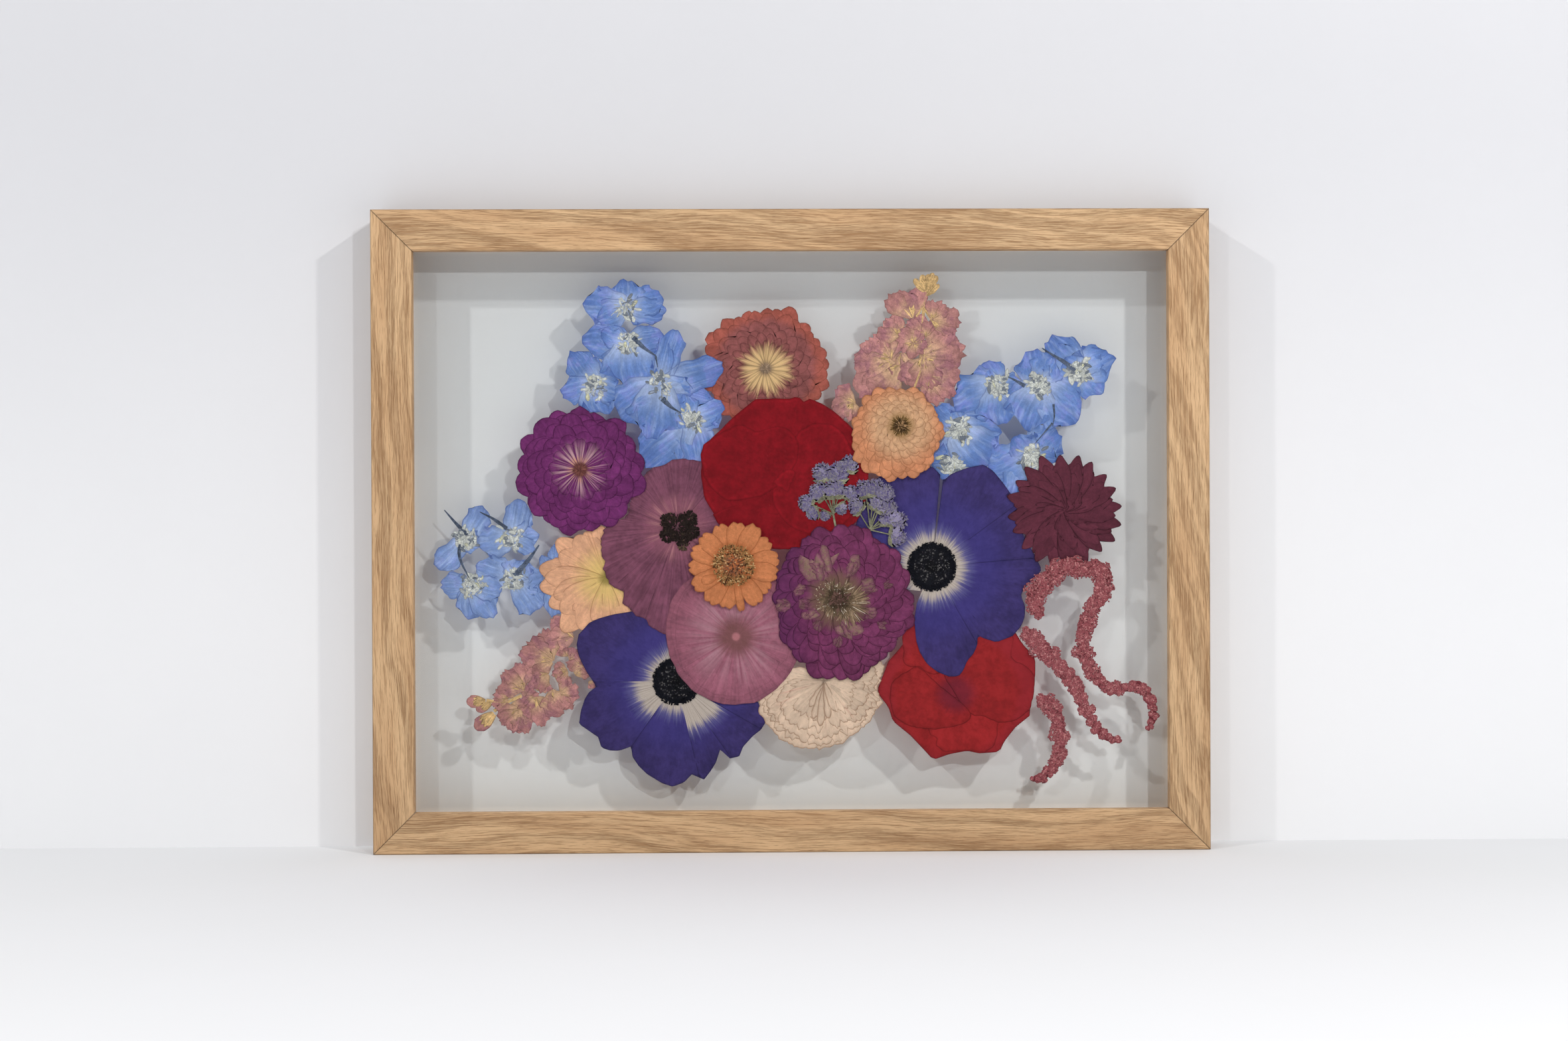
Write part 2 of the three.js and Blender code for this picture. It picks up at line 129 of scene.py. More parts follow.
class FlowerLooks(bpy.types.PropertyGroup):
    """Colours of the pressed flowers."""

    terracotta: tint("Terracotta rim", "Outer petals of the terracotta zinnia", 164, 88, 76)
    terracotta_inner: tint("Terracotta middle", "Its inner petals", 134, 80, 80)
    terracotta_star: tint("Terracotta star", "Its pale petal bases", 226, 188, 136)
    purple: tint("Purple", "Petals of the purple zinnia", 108, 44, 98)
    purple_rays: tint("Purple rays", "Its pale rays", 232, 190, 188)
    crimson: tint("Crimson", "Petals of the crimson rose", 124, 15, 25)
    red: tint("Red", "Petals of the red rose", 152, 36, 38)
    peach: tint("Peach rim", "Outer petals of the peach zinnia", 206, 138, 100)
    peach_heart: tint("Peach middle", "Its inner petals", 210, 168, 130)
    orange: tint("Orange", "Petals of the orange zinnia", 202, 126, 82)
    burgundy: tint("Burgundy", "Petals of the chrysanthemum", 94, 44, 58)
    anemone: tint("Anemone", "Petals of the anemones", 60, 50, 102)
    anemone_ring: tint("Anemone ring", "Pale ring round their discs", 198, 184, 170)
    mauve: tint("Mauve", "Petals of the poppy", 118, 68, 88)
    ranunculus: tint("Ranunculus", "Petals of the ranunculus", 154, 92, 110)
    magenta: tint("Magenta", "Petals of the magenta zinnia", 114, 52, 88)
    withered: tint("Withered", "Shrivelled petals round its eye", 144, 116, 100)
    cream: tint("Cream", "Petals of the carnation", 224, 196, 172)
    dahlia: tint("Dahlia", "Petals of the dahlia", 224, 169, 134)
    dahlia_base: tint("Dahlia base", "Their yellow bases", 226, 196, 116)
    blue: tint("Blue", "Petals of the delphiniums", 104, 134, 194)
    bee: tint("Bee", "Pale tufts in the delphiniums", 206, 208, 202)
    spur: tint("Spur", "Dark spurs of the delphiniums", 84, 94, 114)
    stock: tint("Stock", "Petals of the stocks", 188, 132, 128)
    calyx: tint("Calyx", "Straw-coloured bases of the stocks", 212, 176, 124)
    lilac: tint("Lilac", "Threads of the ageratums", 106, 97, 132)
    sage: tint("Sage", "Buds and stalks of the ageratums", 128, 126, 104)
    amaranth: tint("Amaranth", "Seeds of the amaranths", 156, 84, 90)


def frame_looks():
    return bpy.context.scene.frame_looks


def flower_looks():
    return bpy.context.scene.flower_looks


# ---- materials ----


class Wire:
    """An output socket of a material, with arithmetic that adds Math nodes."""

    def __init__(self, paint, socket):
        self.paint = paint
        self.socket = socket

    def maths(self, operation, *values):
        inputs = dict(enumerate([self, *values]))
        return self.paint.node("ShaderNodeMath", {"operation": operation}, inputs)

    def after(self, operation, value):
        return self.paint.node("ShaderNodeMath", {"operation": operation}, {0: value, 1: self})

    def __add__(self, value):
        return self.maths("ADD", value)

    __radd__ = __add__

    def __sub__(self, value):
        return self.maths("SUBTRACT", value)

    def __rsub__(self, value):
        return self.after("SUBTRACT", value)

    def __mul__(self, value):
        return self.maths("MULTIPLY", value)

    __rmul__ = __mul__

    def __pow__(self, value):
        return self.maths("POWER", value)

    def __abs__(self):
        return self.maths("ABSOLUTE")

    def sine(self):
        return self.maths("SINE")

    def ramp(self, low, high):
        """0 at low and 1 at high, smooth between them."""
        return self.paint.node(
            "ShaderNodeMapRange",
            {"interpolation_type": "SMOOTHSTEP"},
            {"Value": self, "From Min": low, "From Max": high},
        )


class Tree:
    """A node tree in the making."""

    def __init__(self, tree):
        self.tree = tree
        tree.nodes.clear()

    def node(self, kind, settings=(), inputs=(), output=0):
        """Adds a node, sets it up, fills its sockets with values or links, and returns an output."""
        made = self.tree.nodes.new(kind)
        for key, value in dict(settings).items():
            setattr(made, key, value)
        for key, value in dict(inputs).items():
            self.feed(made.inputs[key], value)
        return Wire(self, made.outputs[output]) if made.outputs else None

    def feed(self, socket, value):
        if isinstance(value, Wire):
            self.tree.links.new(value.socket, socket)
        elif hasattr(value, "__len__") and len(value) == 3 and socket.type == "RGBA":
            socket.default_value = (*value, 1)
        else:
            socket.default_value = value

    def part(self, vector, axis):
        return self.node("ShaderNodeSeparateXYZ", {}, {"Vector": vector}, axis)

    def vector(self, x, y, z=0.0):
        return self.node("ShaderNodeCombineXYZ", {}, {"X": x, "Y": y, "Z": z})

    def noise(self, where, scale, detail, roughness):
        inputs = {"Vector": where, "Scale": scale, "Detail": detail, "Roughness": roughness}
        return self.node("ShaderNodeTexNoise", {}, inputs)

    def cells(self, where, scale):
        """Distance to the borders of irregular cells."""
        inputs = {"Vector": where, "Scale": scale}
        return self.node("ShaderNodeTexVoronoi", {"feature": "DISTANCE_TO_EDGE"}, inputs)

    def attribute(self, name):
        return self.node("ShaderNodeAttribute", {"attribute_name": name}, {}, "Fac")

    def mix(self, factor, first, second):
        return self.node("ShaderNodeMix", {"data_type": "RGBA"}, {0: factor, 6: first, 7: second}, 2)


class Paint(Tree):
    """A material in the making. Its colour is built up in layers and ends in one Principled shader."""

    def __init__(self, name, heart=(0, 0)):
        self.material = bpy.data.materials.new(name)
        self.material.use_nodes = True
        super().__init__(self.material.node_tree)
        self.gloss = PLAIN_GLOSS
        self.colour = None
        self.height = None
        where = self.node("ShaderNodeTexCoord", output="Object")
        # Millimetres from the flower's heart: x to the right, z upwards.
        self.where = self.node(
            "ShaderNodeMapping",
            {},
            {
                "Vector": where,
                "Location": (-heart[0], 0, -heart[1] - MIDDLE / MM),
                "Scale": (1 / MM, 1 / MM, 1 / MM),
            },
        )
        self.x = self.part(self.where, "X")
        self.y = self.part(self.where, "Y")
        self.z = self.part(self.where, "Z")

    def wash(self, colour, mask):
        """Lays a colour over what is there, where the mask is 1."""
        self.colour = self.mix(mask, self.colour, colour)

    def shade(self, value):
        """Makes the colour lighter or darker by a factor."""
        self.colour = self.node(
            "ShaderNodeVectorMath", {"operation": "SCALE"}, {"Vector": self.colour, "Scale": value}
        )

    def emboss(self, value):
        """Adds to the height of the surface, in millimetres."""
        self.height = value if self.height is None else self.height + value

    def finish(self, roughness=0.85, **constants):
        """Ends in a Principled shader and gives the material."""
        inputs = {"Base Color": self.colour, "Roughness": roughness, "Specular IOR Level": self.gloss}
        if self.height is not None:
            inputs["Normal"] = self.node(
                "ShaderNodeBump", {}, {"Strength": 1.0, "Distance": MM, "Height": self.height}, "Normal"
            )
        inputs.update({key.replace("_", " "): value for key, value in constants.items()})
        shader = self.node("ShaderNodeBsdfPrincipled", {}, inputs)
        self.node("ShaderNodeOutputMaterial", {}, {"Surface": shader})
        return self.material


class PetalPaint(Paint):
    """Paint for dried petals, which are matt: it knows the way along a petal, its edge and the flower's
    heart."""

    def __init__(self, name, heart, colour, tones=0.25):
        super().__init__(name, heart)
        self.gloss = PETAL_GLOSS
        petal = self.node("ShaderNodeUVMap", {"uv_map": "petal"})
        self.across = self.part(petal, "X")
        self.along = self.part(petal, "Y")
        self.tone = self.attribute("tone")
        self.edge = self.attribute("edge")
        self.reach = (self.x * self.x + self.z * self.z) ** 0.5
        self.turn = self.z.maths("ARCTAN2", self.x)
        self.grain = self.noise(self.where, 1.9, 3, 0.7).ramp(0.3, 0.7)
        self.fleck = self.noise(self.where, 0.55, 4, 0.65).ramp(0.3, 0.7)
        self.blotch = self.noise(self.where, 0.14, 3, 0.6).ramp(0.3, 0.7)
        self.colour = self.mix(0.0, colour, colour)
        self.shade(1 - tones / 2 + self.tone * tones)

    def streaks(self, count, slowly=0.04, detail=2.0):
        """Noise drawn out along the rays from the flower's heart, with about this many rays."""
        turn = self.turn * (count / math.tau)
        around = self.vector(turn.sine() * 3, turn * 1.7, self.reach * slowly)
        return self.noise(around, 1, detail, 0.6)

    def near(self, reach, fade, ragged=0.0, count=40):
        """1 inside a radius round the heart, with a frayed border where ragged is its depth."""
        frayed = self.reach
        if ragged:
            frayed = self.reach + (self.streaks(count) - 0.5) * ragged
        return frayed.ramp(reach + fade / 2, reach - fade / 2)

    def lines(self, count, roughness):
        """Noise drawn out along each petal, with about this many lines across it."""
        where = self.vector(self.across * count, self.along * 1.5, self.tone * 40)
        return self.noise(where, 1, 3, roughness)

    def veins(self, count, strength):
        """Fine lines that run the length of each petal."""
        lines = self.lines(count, 0.65).ramp(0.3, 0.7)
        self.shade(1 - strength / 2 + lines * strength)
        self.emboss(lines * 0.06 * strength)

    def mottle(self, fine, broad):
        """Uneven colour, as fine grain, flecks and broad clouds."""
        self.shade(1 - fine - broad / 2 + self.grain * fine + self.fleck * fine + self.blotch * broad)
        self.emboss(self.grain * 0.03 + self.fleck * 0.08 + self.blotch * 0.25)

    def outline(self, width, strength, colour=None):
        """A dark line along each petal's edge, partly the petal's own pigment and partly painted shadow
        where it lies on the petal below, with a faint band of painted shade inside it.
        """
        mask = self.edge.ramp(width, 0) * strength
        if colour is None:
            self.shade(1 - mask)
        else:
            self.wash(colour, mask)
        self.shade(1 - self.edge.ramp(width * 3, width * 0.5) * strength * 0.18)

    def creases(self, scale, strength):
        """Crumpled folds: thin lines of painted shade in the folds, each with a raised side."""
        bent = self.noise(self.where, scale * 0.8, 2, 0.6) * (2.2 / scale)
        fold = self.cells(self.vector(self.x + bent, self.z - bent, self.tone * 9), scale)
        self.shade(1 - fold.ramp(0.12, 0) * strength)
        self.emboss(fold.ramp(0, 0.3) * 0.15)


# ---- meshes ----


def empty_mesh():
    """A mesh with a map for the way across and along each petal, and two values for its paint."""
    mesh = bmesh.new()
    mesh.loops.layers.uv.new("petal")
    mesh.verts.layers.float.new("tone")
    mesh.verts.layers.float.new("edge")
    return mesh


def layers_of(mesh):
    """The layers for a petal's own tone and for the distance to its edge."""
    return mesh.verts.layers.float["tone"], mesh.verts.layers.float["edge"]


class Specimen:
    """Collects one specimen's petals in millimetres: x to the right and y upwards from the middle of the
    panes, z from the back of the specimen's own layer towards the front pane."""

    def __init__(self, node, seed):
        low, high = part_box(node)
        self.node = node
        self.back = high.y
        self.depth = (high.y - low.y) / MM
        self.random = random.Random(seed)
        self.mesh = empty_mesh()
        self.grains = empty_mesh()

    def between(self, low, high):
        return self.random.uniform(low, high)

    def sheet(self, columns, rows, shape, tone=None, paint=0):
        """A sheet whose point across u (-1 to 1) and along v (0 to 1) lies at shape(u, v), which gives
        x, y, z and the distance to the sheet's edge."""
        tone = self.random.random() if tone is None else tone
        made = bmesh.ops.create_grid(
            self.mesh, x_segments=columns, y_segments=rows, size=1, calc_uvs=True
        )["verts"]
        tones, edges = layers_of(self.mesh)
        faces = {face for vert in made for face in vert.link_faces}
        for vert in made:
            *place, edge = shape(vert.co.x, (vert.co.y + 1) / 2)
            vert.co = place
            vert[tones] = tone
            vert[edges] = edge
        for face in faces:
            face.material_index = paint
        return made

    def leaf(self, foot, angle, reach, half, lift, belly=0.7, claw=0.35, point=0.0, notch=0.0,
             tilt=0.03, wave=0.02, bend=0.0, ruffle=0.0, tone=None, paint=0, columns=6, rows=7):
        """A petal that grows from its foot: narrow at the claw, widest at the belly, with a round tip
        at point 0 and a sharp one at point 1, and an uneven rim where it is ruffled."""
        way = facing(angle)
        side = Vector((way.y, -way.x))
        close = 0.84 - 0.3 * point
        drop = half * (0.62 + 1.2 * point)
        seed = self.between(0, 90)

        def shape(u, v):
            if v < belly:
                wide = claw + (1 - claw) * math.sin(v / belly * math.pi / 2)
            else:
                wide = 1 - (1 - close) * ((v - belly) / (1 - belly)) ** 2
            dip = drop * abs(u) ** (2.4 - 1.2 * point) + notch * half * math.exp(-((u / 0.25) ** 2))
            wide *= 1 + ruffle * noise.noise(Vector((seed, v * 4, 0)))
            far = v * reach - dip * v**6 + ruffle * half * v * v * noise.noise(Vector((u * 3, seed, 0)))
            sway = bend * v * v + 0.08 * noise.noise(Vector((seed, v * 2, 0)))
            place = Vector(foot) + way * far + side * (half * wide * (u + sway))
            rise = lift + tilt * u + wave * noise.noise(Vector((u * 1.5, v * 3, seed)))
            edge = min((1 - abs(u)) * half * wide, (1 - v) * reach)
            return place.x, place.y, rise, edge

        self.sheet(columns, rows, shape, tone, paint)

    def ring(self, heart, count, reach, half, lift, turn=0.0, uneven=0.06, stretch=(1, 1), step=0.0,
             **looks):
        """Petals all round a heart, every second one raised by a step."""
        for i in range(count):
            angle = turn + 360 * i / count + self.between(-1, 1) * 90 / count * 0.35
            turned = math.radians(angle)
            wide = math.hypot(stretch[0] * math.cos(turned), stretch[1] * math.sin(turned))
            size = wide * (1 + self.between(-uneven, uneven))
            width = half * (1 + self.between(-uneven, uneven) * 1.5)
            self.leaf(heart, angle, reach * size, width, lift + step * (i % 2), **looks)

    def fan(self, heart, start, end, reach, lift, inner=0.0, shoulder=0.1, tilt=0.05, wave=0.03,
            tone=None, paint=0, columns=18, rows=10, sides=True):
        """A broad petal between two directions, in degrees, as far as reach(direction) says. Without
        sides, only its rim counts as an edge."""
        middle, half = (start + end) / 2, abs(start - end) / 2
        seed = self.between(0, 90)

        def shape(u, v):
            angle = middle - u * half
            far = reach(angle) * (1 - shoulder * abs(u) ** 5)
            from_heart = inner + (far - inner) * v
            turn = math.radians(angle)
            x = heart[0] + from_heart * math.cos(turn)
            y = heart[1] + from_heart * math.sin(turn)
            rise = lift + tilt * u + wave * noise.noise(Vector((x * 0.15, y * 0.15, seed)))
            edge = (1 - v) * far
            if sides:
                edge = min(edge, (1 - abs(u)) * math.radians(half) * from_heart)
            return x, y, rise, edge

        self.sheet(columns, rows, shape, tone, paint)

    def patch(self, outline, lift, heart=None, torn=0.0, teeth=7, wave=0.03, tone=None, paint=0,
              columns=56, rows=7):
        """A broad petal with a given outline, spread out from a heart inside it."""
        if heart is None:
            heart = centre(outline)
        seed = self.between(0, 90)
        reach = ragged(reach_to(outline, heart), torn, teeth, seed)

        def shape(u, v):
            turn = -math.pi * u
            far = reach(round(math.degrees(turn), 3))
            x = heart[0] + far * v * math.cos(turn)
            y = heart[1] + far * v * math.sin(turn)
            rise = lift + wave * noise.noise(Vector((x * 0.12, y * 0.12, seed)))
            return x, y, rise, (1 - v) * far

        verts = self.sheet(columns, rows, shape, tone, paint)
        bmesh.ops.remove_doubles(self.mesh, verts=verts, dist=0.001)

    def ribbon(self, route, half, lift, paint, rows=8):
        """A flat stalk along a bent route; half(v) is half its width."""

        def shape(u, v):
            at, way = along(route, v)
            side = Vector((way.y, -way.x))
            place = at + side * (u * half(v))
            crown = (1 - u * u) * min(half(v) * 0.3, 0.2)
            return place.x, place.y, lift + crown, (1 - abs(u)) * half(v)

        self.sheet(2, rows, shape, 0.5, paint)

    def fuzz(self, heart, count, inner, outer, half, lift, rise, paint=0, spread=(0, 360), tones=(0, 1)):
        """Thin threads that point away from a heart."""
        for _ in range(count):
            angle = self.between(*spread)
            turn = math.radians(angle)
            start = inner * math.sqrt(self.random.random())
            foot = (heart[0] + start * math.cos(turn), heart[1] + start * math.sin(turn))
            self.leaf(
                foot,
                angle + self.between(-25, 25),
                self.between(0.45, 1) * (outer - start),
                half * self.between(0.7, 1.3),
                lift + self.between(0, rise),
                belly=0.3,
                claw=0.7,
                point=0.9,
                tilt=0,
                wave=0,
                tone=self.between(*tones),
                paint=paint,
                columns=1,
                rows=2,
            )

    def thicken(self):
        """Gives the sheets their thickness."""
        thickness = frame_looks().sheet / MM
        grown = bmesh.ops.extrude_face_region(self.mesh, geom=self.mesh.faces[:])["geom"]
        front = [item for item in grown if isinstance(item, bmesh.types.BMVert)]
        bmesh.ops.translate(self.mesh, verts=front, vec=(0, 0, thickness))
        bmesh.ops.recalc_face_normals(self.mesh, faces=self.mesh.faces[:])

    def seed(self, x, y, z, size, tone=None, paint=0, squash=0.6):
        """A small rounded grain. It comes after thicken(), because it is a closed shape already."""
        tone = self.random.random() if tone is None else tone
        turned = Matrix.Rotation(self.between(0, math.tau), 4, "Z")
        lean = Matrix.Rotation(self.between(-0.5, 0.5), 4, "X")
        form = Matrix.Diagonal((size, size * self.between(0.6, 1), size * squash, 1))
        made = bmesh.ops.create_icosphere(
            self.grains,
            subdivisions=1,
            radius=1,
            matrix=Matrix.Translation((x, y, z)) @ turned @ lean @ form,
        )["verts"]
        tones, edges = layers_of(self.grains)
        for vert in made:
            vert[tones] = tone
            vert[edges] = 1
            for face in vert.link_faces:
                face.material_index = paint
        if len(self.grains.verts) > GRAIN_BATCH:
            self.pour()

    def pour(self):
        """Adds the grains made so far to the specimen. Short batches are quicker than one long one."""
        batch = bpy.data.meshes.new("grains")
        self.grains.to_mesh(batch)
        self.grains.free()
        self.mesh.from_mesh(batch)
        bpy.data.meshes.remove(batch)
        self.grains = empty_mesh()

    def seeds(self, heart, count, reach, sizes, lift, rise, paint=0, tones=(0, 1), inner=0.0):
        """Grains scattered evenly over a disc."""
        for _ in range(count):
            angle = self.between(0, math.tau)
            out = math.sqrt(self.between(inner**2, 1)) * reach
            self.seed(
                heart[0] + out * math.cos(angle),
                heart[1] + out * math.sin(angle),
                lift + self.between(0, rise),
                self.between(*sizes),
                self.between(*tones),
                paint,
            )

    def finish(self, slot, *paints):
        """Makes the object, in the place of its CAD node and with its name."""
        self.pour()
        self.grains.free()
        stand = Matrix.Translation((0, self.back, MIDDLE)) @ Matrix.Rotation(math.pi / 2, 4, "X")
        bmesh.ops.transform(self.mesh, matrix=stand @ Matrix.Scale(MM, 4), verts=self.mesh.verts[:])
        for face in self.mesh.faces:
            face.smooth = True
        for edge in self.mesh.edges:
            if len(edge.link_faces) == 2 and edge.calc_face_angle(0) > SHARP:
                edge.smooth = False
        data = bpy.data.meshes.new(self.node)
        self.mesh.to_mesh(data)
        self.mesh.free()
        for paint in paints:
            data.materials.append(paint)
        made = bpy.data.objects.new(self.node, data)
        bpy.context.scene.collection.objects.link(made)
        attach(made, "root")
        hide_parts(self.node)


def facing(degrees):
    """The direction at an angle."""
    turn = math.radians(degrees)
    return Vector((math.cos(turn), math.sin(turn)))


def aim(way):
    """The angle of a direction, in degrees."""
    return math.degrees(math.atan2(way.y, way.x))


def centre(outline):
    """The mean of an outline's points."""
    return sum((Vector(point) for point in outline), Vector((0, 0))) / len(outline)


def along(route, share):
    """The point and the direction at a share of the way along a bent route, rounded at its bends."""
    points = [Vector(p) for p in route]
    lengths = [(b - a).length for a, b in zip(points, points[1:])]
    left = share * sum(lengths)
    i = 0
    while i < len(lengths) - 1 and left > lengths[i]:
        left -= lengths[i]
        i += 1
    t = min(left / lengths[i], 1)
    a, b = points[i], points[i + 1]
    before = points[i - 1] if i else a - (b - a)
    after = points[i + 2] if i + 2 < len(points) else b + (b - a)
    at, way = between(before, a, b, after, t)
    return at, way.normalized()


def rounded(outline):
    """The outline with a smooth curve through its points."""
    closed = [*outline, outline[0]]
    route = [outline[-1], *closed, outline[1]]
    points = []
    for i in range(len(outline)):
        before, a, b, after = (Vector(p) for p in route[i : i + 4])
        for t in (0, 0.25, 0.5, 0.75):
            points.append(between(before, a, b, after, t)[0])
    return points


def between(before, a, b, after, t):
    """The point and the direction at a share t between a and b, on a curve through all four."""
    cubic = 3 * a - before - 3 * b + after
    square = 2 * before - 5 * a + 4 * b - after
    at = 0.5 * (2 * a + (b - before) * t + square * t**2 + cubic * t**3)
    return at, (b - before) + 2 * square * t + 3 * cubic * t**2


def reach_to(outline, heart):
    """How far an outline lies from the heart, as a function of the direction in degrees."""
    points = [Vector(p) - Vector(heart) for p in outline]
    sides = list(zip(points, points[1:] + points[:1]))

    @functools.lru_cache(None)
    def reach(angle):
        way = facing(angle)
        best = 1.0
        for a, b in sides:
            step = b - a
            slant = way.cross(step)
            if abs(slant) < 1e-9:
                continue
            share = a.cross(way) / slant
            out = a.cross(step) / slant
            if 0 <= share <= 1 and out > best:
                best = out
        return best

    return reach


def ragged(reach, depth, teeth, seed):
    """The same reach with a torn or serrated rim."""

    @functools.lru_cache(None)
    def torn(angle):
        turn = math.radians(angle)
        fine = 0
        for share, count in ((1, teeth), (0.5, teeth * 2.7)):
            spot = Vector((math.cos(turn) * count, math.sin(turn) * count, seed))
            fine += share * noise.noise(spot)
        return reach(angle) + depth * fine

    return torn


# ---- the oak, the glass and the points ----


def oak_paint(name, grain, lean):
    """Oiled oak whose grain runs along X or along Z. Its darker bands lean across the rail by lean
    millimetres in each millimetre."""
    looks = frame_looks()
    paint = Paint(name)
    run, across = (paint.x, paint.z) if grain == "X" else (paint.z, paint.x)
    depth = paint.y
    sway = (paint.noise(paint.vector(run * 0.009, across * 0.03, depth * 0.03), 1, 2, 0.4) - 0.5) * 11
    figure = across + sway + run * 0.02
    slanted = figure + sway * 2 + run * lean
    rings = paint.noise(paint.vector(run * 0.006, slanted * 0.16, depth * 0.16), 1, 2, 0.6)
    porous = rings.ramp(0.4, 0.6)
    dashes = paint.noise(paint.vector(run * 0.055, figure * 2.6, depth * 2.6), 1, 2, 0.6)
    short = paint.noise(paint.vector(run * 0.14, figure * 3.6, depth * 3.6), 1, 2, 0.6)
    pores = (dashes + porous * 0.07).ramp(0.545, 0.64)
    specks = (short + porous * 0.05).ramp(0.57, 0.68)
    fibre = paint.noise(paint.vector(run * 0.3, across * 6, depth * 6), 1, 2, 0.6)
    cloud = paint.noise(paint.vector(run * 0.012, figure * 0.09, depth * 0.09), 1, 3, 0.6)
    paint.colour = paint.mix(cloud.ramp(0.3, 0.7), looks.oak, looks.oak_warm)
    paint.shade(1.1 - fibre * 0.18)
    paint.shade(1.05 - porous * 0.15)
    paint.wash(looks.oak_pore, pores * 0.5)
    paint.wash(looks.oak_pore, specks * 0.42)
    # The glue line where two rails meet, and a darker band along the outer edges.
    from_side = WIDTH / MM / 2 - abs(paint.x)
    from_end = HEIGHT / MM / 2 - abs(paint.z)
    mitre = abs(from_side - from_end).ramp(0.6, 0.1)
    paint.shade(1 - mitre * 0.5)
    rim = from_side.maths("MINIMUM", from_end).ramp(0.9, 0.1)
    paint.shade(1 - rim * 0.22)
    paint.emboss(pores * -0.07 + specks * -0.05 + fibre * 0.02)
    return paint.finish(0.55 + pores * 0.2 + fibre * 0.08, Specular_IOR_Level=OAK_GLOSS)


def steel_paint():
    """Plain sheet steel, a little dulled."""
    paint = Paint("dull steel")
    brushed = paint.noise(paint.vector(paint.x * 0.6, paint.y * 4, paint.z * 0.6), 2, 3, 0.6)
    spots = paint.noise(paint.where, 0.9, 4, 0.7).ramp(0.55, 0.75)
    paint.colour = paint.mix(spots, frame_looks().steel, display(96, 84, 74))
    paint.shade(0.85 + brushed * 0.3)
    paint.emboss(brushed * 0.01)
    return paint.finish(0.32 + spots * 0.3, Metallic=1.0)


def glass_paint():
    """Clear glass that lets the lamps through."""
    paint = Paint("clear glass")
    glass = paint.node(
        "ShaderNodeBsdfPrincipled",
        {},
        {
            "Base Color": frame_looks().glass,
            "Roughness": 0.0,
            "IOR": 1.5,
            "Transmission Weight": 1.0,
        },
    )
    clear = paint.node("ShaderNodeBsdfTransparent", {}, {})
    shadow = paint.node("ShaderNodeLightPath", {}, {}, "Is Shadow Ray")
    # Light from a dull surface goes straight through too, or the lamps would count twice behind the glass.
    dull = paint.node("ShaderNodeLightPath", {}, {}, "Is Diffuse Ray")
    straight = shadow.maths("MAXIMUM", dull)
    through = paint.node("ShaderNodeMixShader", {}, {0: straight, 1: glass, 2: clear})
    paint.node("ShaderNodeOutputMaterial", {}, {"Surface": through})
    return paint.material


class FRAME_OT_oak(bpy.types.Operator):
    """Give the four rails oiled oak with its grain along each rail"""

    bl_idname = "flower_frame.oak"
    bl_label = "Oak rails"

    def execute(self, context):
        repaint("rail_top", oak_paint("oak of the top rail", "X", 0.16))
        repaint("rail_bottom", oak_paint("oak of the bottom rail", "X", 0.04))
        repaint("rail_left", oak_paint("oak of the left rail", "Z", 0.06))
        repaint("rail_right", oak_paint("oak of the right rail", "Z", 0.3))
        return {"FINISHED"}


class FRAME_OT_panes(bpy.types.Operator):
    """Give the two panes clear glass and the glazing points dull steel"""

    bl_idname = "flower_frame.panes"
    bl_label = "Glass and glazing points"

    def execute(self, context):
        glass = glass_paint()
        steel = steel_paint()
        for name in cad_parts:
            if name.startswith("glass"):
                repaint(name, glass)
            if name.startswith("glazing_point"):
                repaint(name, steel)
        return {"FINISHED"}


def repaint(name, material):
    """Puts a material on a CAD node's object."""
    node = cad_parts[name]
    node.data.materials.clear()
    node.data.materials.append(material)


# ---- zinnias and other flowers with rings of petals ----


def rings_of(flower, heart, rings, **looks):
    """Rings of petals from the back to the front: count, reach, half width and turn of each."""
    for i, (count, reach, half, turn) in enumerate(rings):
        lift = 0.05 + (flower.depth - 0.22) * i / max(len(rings) - 1, 1)
        flower.ring(heart, count, reach, half, lift, turn, **looks)


def terracotta_zinnia():
    looks = flower_looks()
    heart = (-13.4, 85.2)
    flower = Specimen("terracotta_zinnia", 11)
    rings = [
        (17, 33.4, 7.6, 4),
        (17, 32.0, 7.2, 15),
        (17, 29.0, 6.8, 2),
        (16, 25.4, 5.8, 12),
        (17, 22.0, 4.8, 1),
        (20, 18.5, 2.9, 9),
        (20, 15.0, 1.8, 0),
    ]
    rings_of(flower, heart, rings, claw=0.3, belly=0.74, point=0.2, tilt=0.03, ruffle=0.12)
    flower.fuzz(heart, 80, 1.2, 3.8, 0.16, flower.depth - FRONT_ROOM, 0.06, paint=1)
    flower.thicken()
    paint = PetalPaint("terracotta petals", heart, looks.terracotta, 0.22)
    paint.wash(looks.terracotta_inner, paint.near(26, 6, 6, 14) * 0.85)
    paint.veins(6, 0.2)
    paint.mottle(0.16, 0.3)
    paint.wash(looks.terracotta_star, paint.near(11.6, 7.5, 16, 22))
    paint.outline(0.8, 0.42)
    rays = paint.streaks(34, 0.02).ramp(0.45, 0.6) * paint.near(14, 6) * 0.3
    paint.shade(1 - rays)
    paint.wash(display(128, 104, 86), paint.near(3.6, 4, 3) * 0.8)
    core = PetalPaint("terracotta core", heart, display(138, 116, 96), 0.7)
    core.mottle(0.5, 0.2)
    flower.finish("terracotta_petals", paint.finish(0.9), core.finish(0.95))


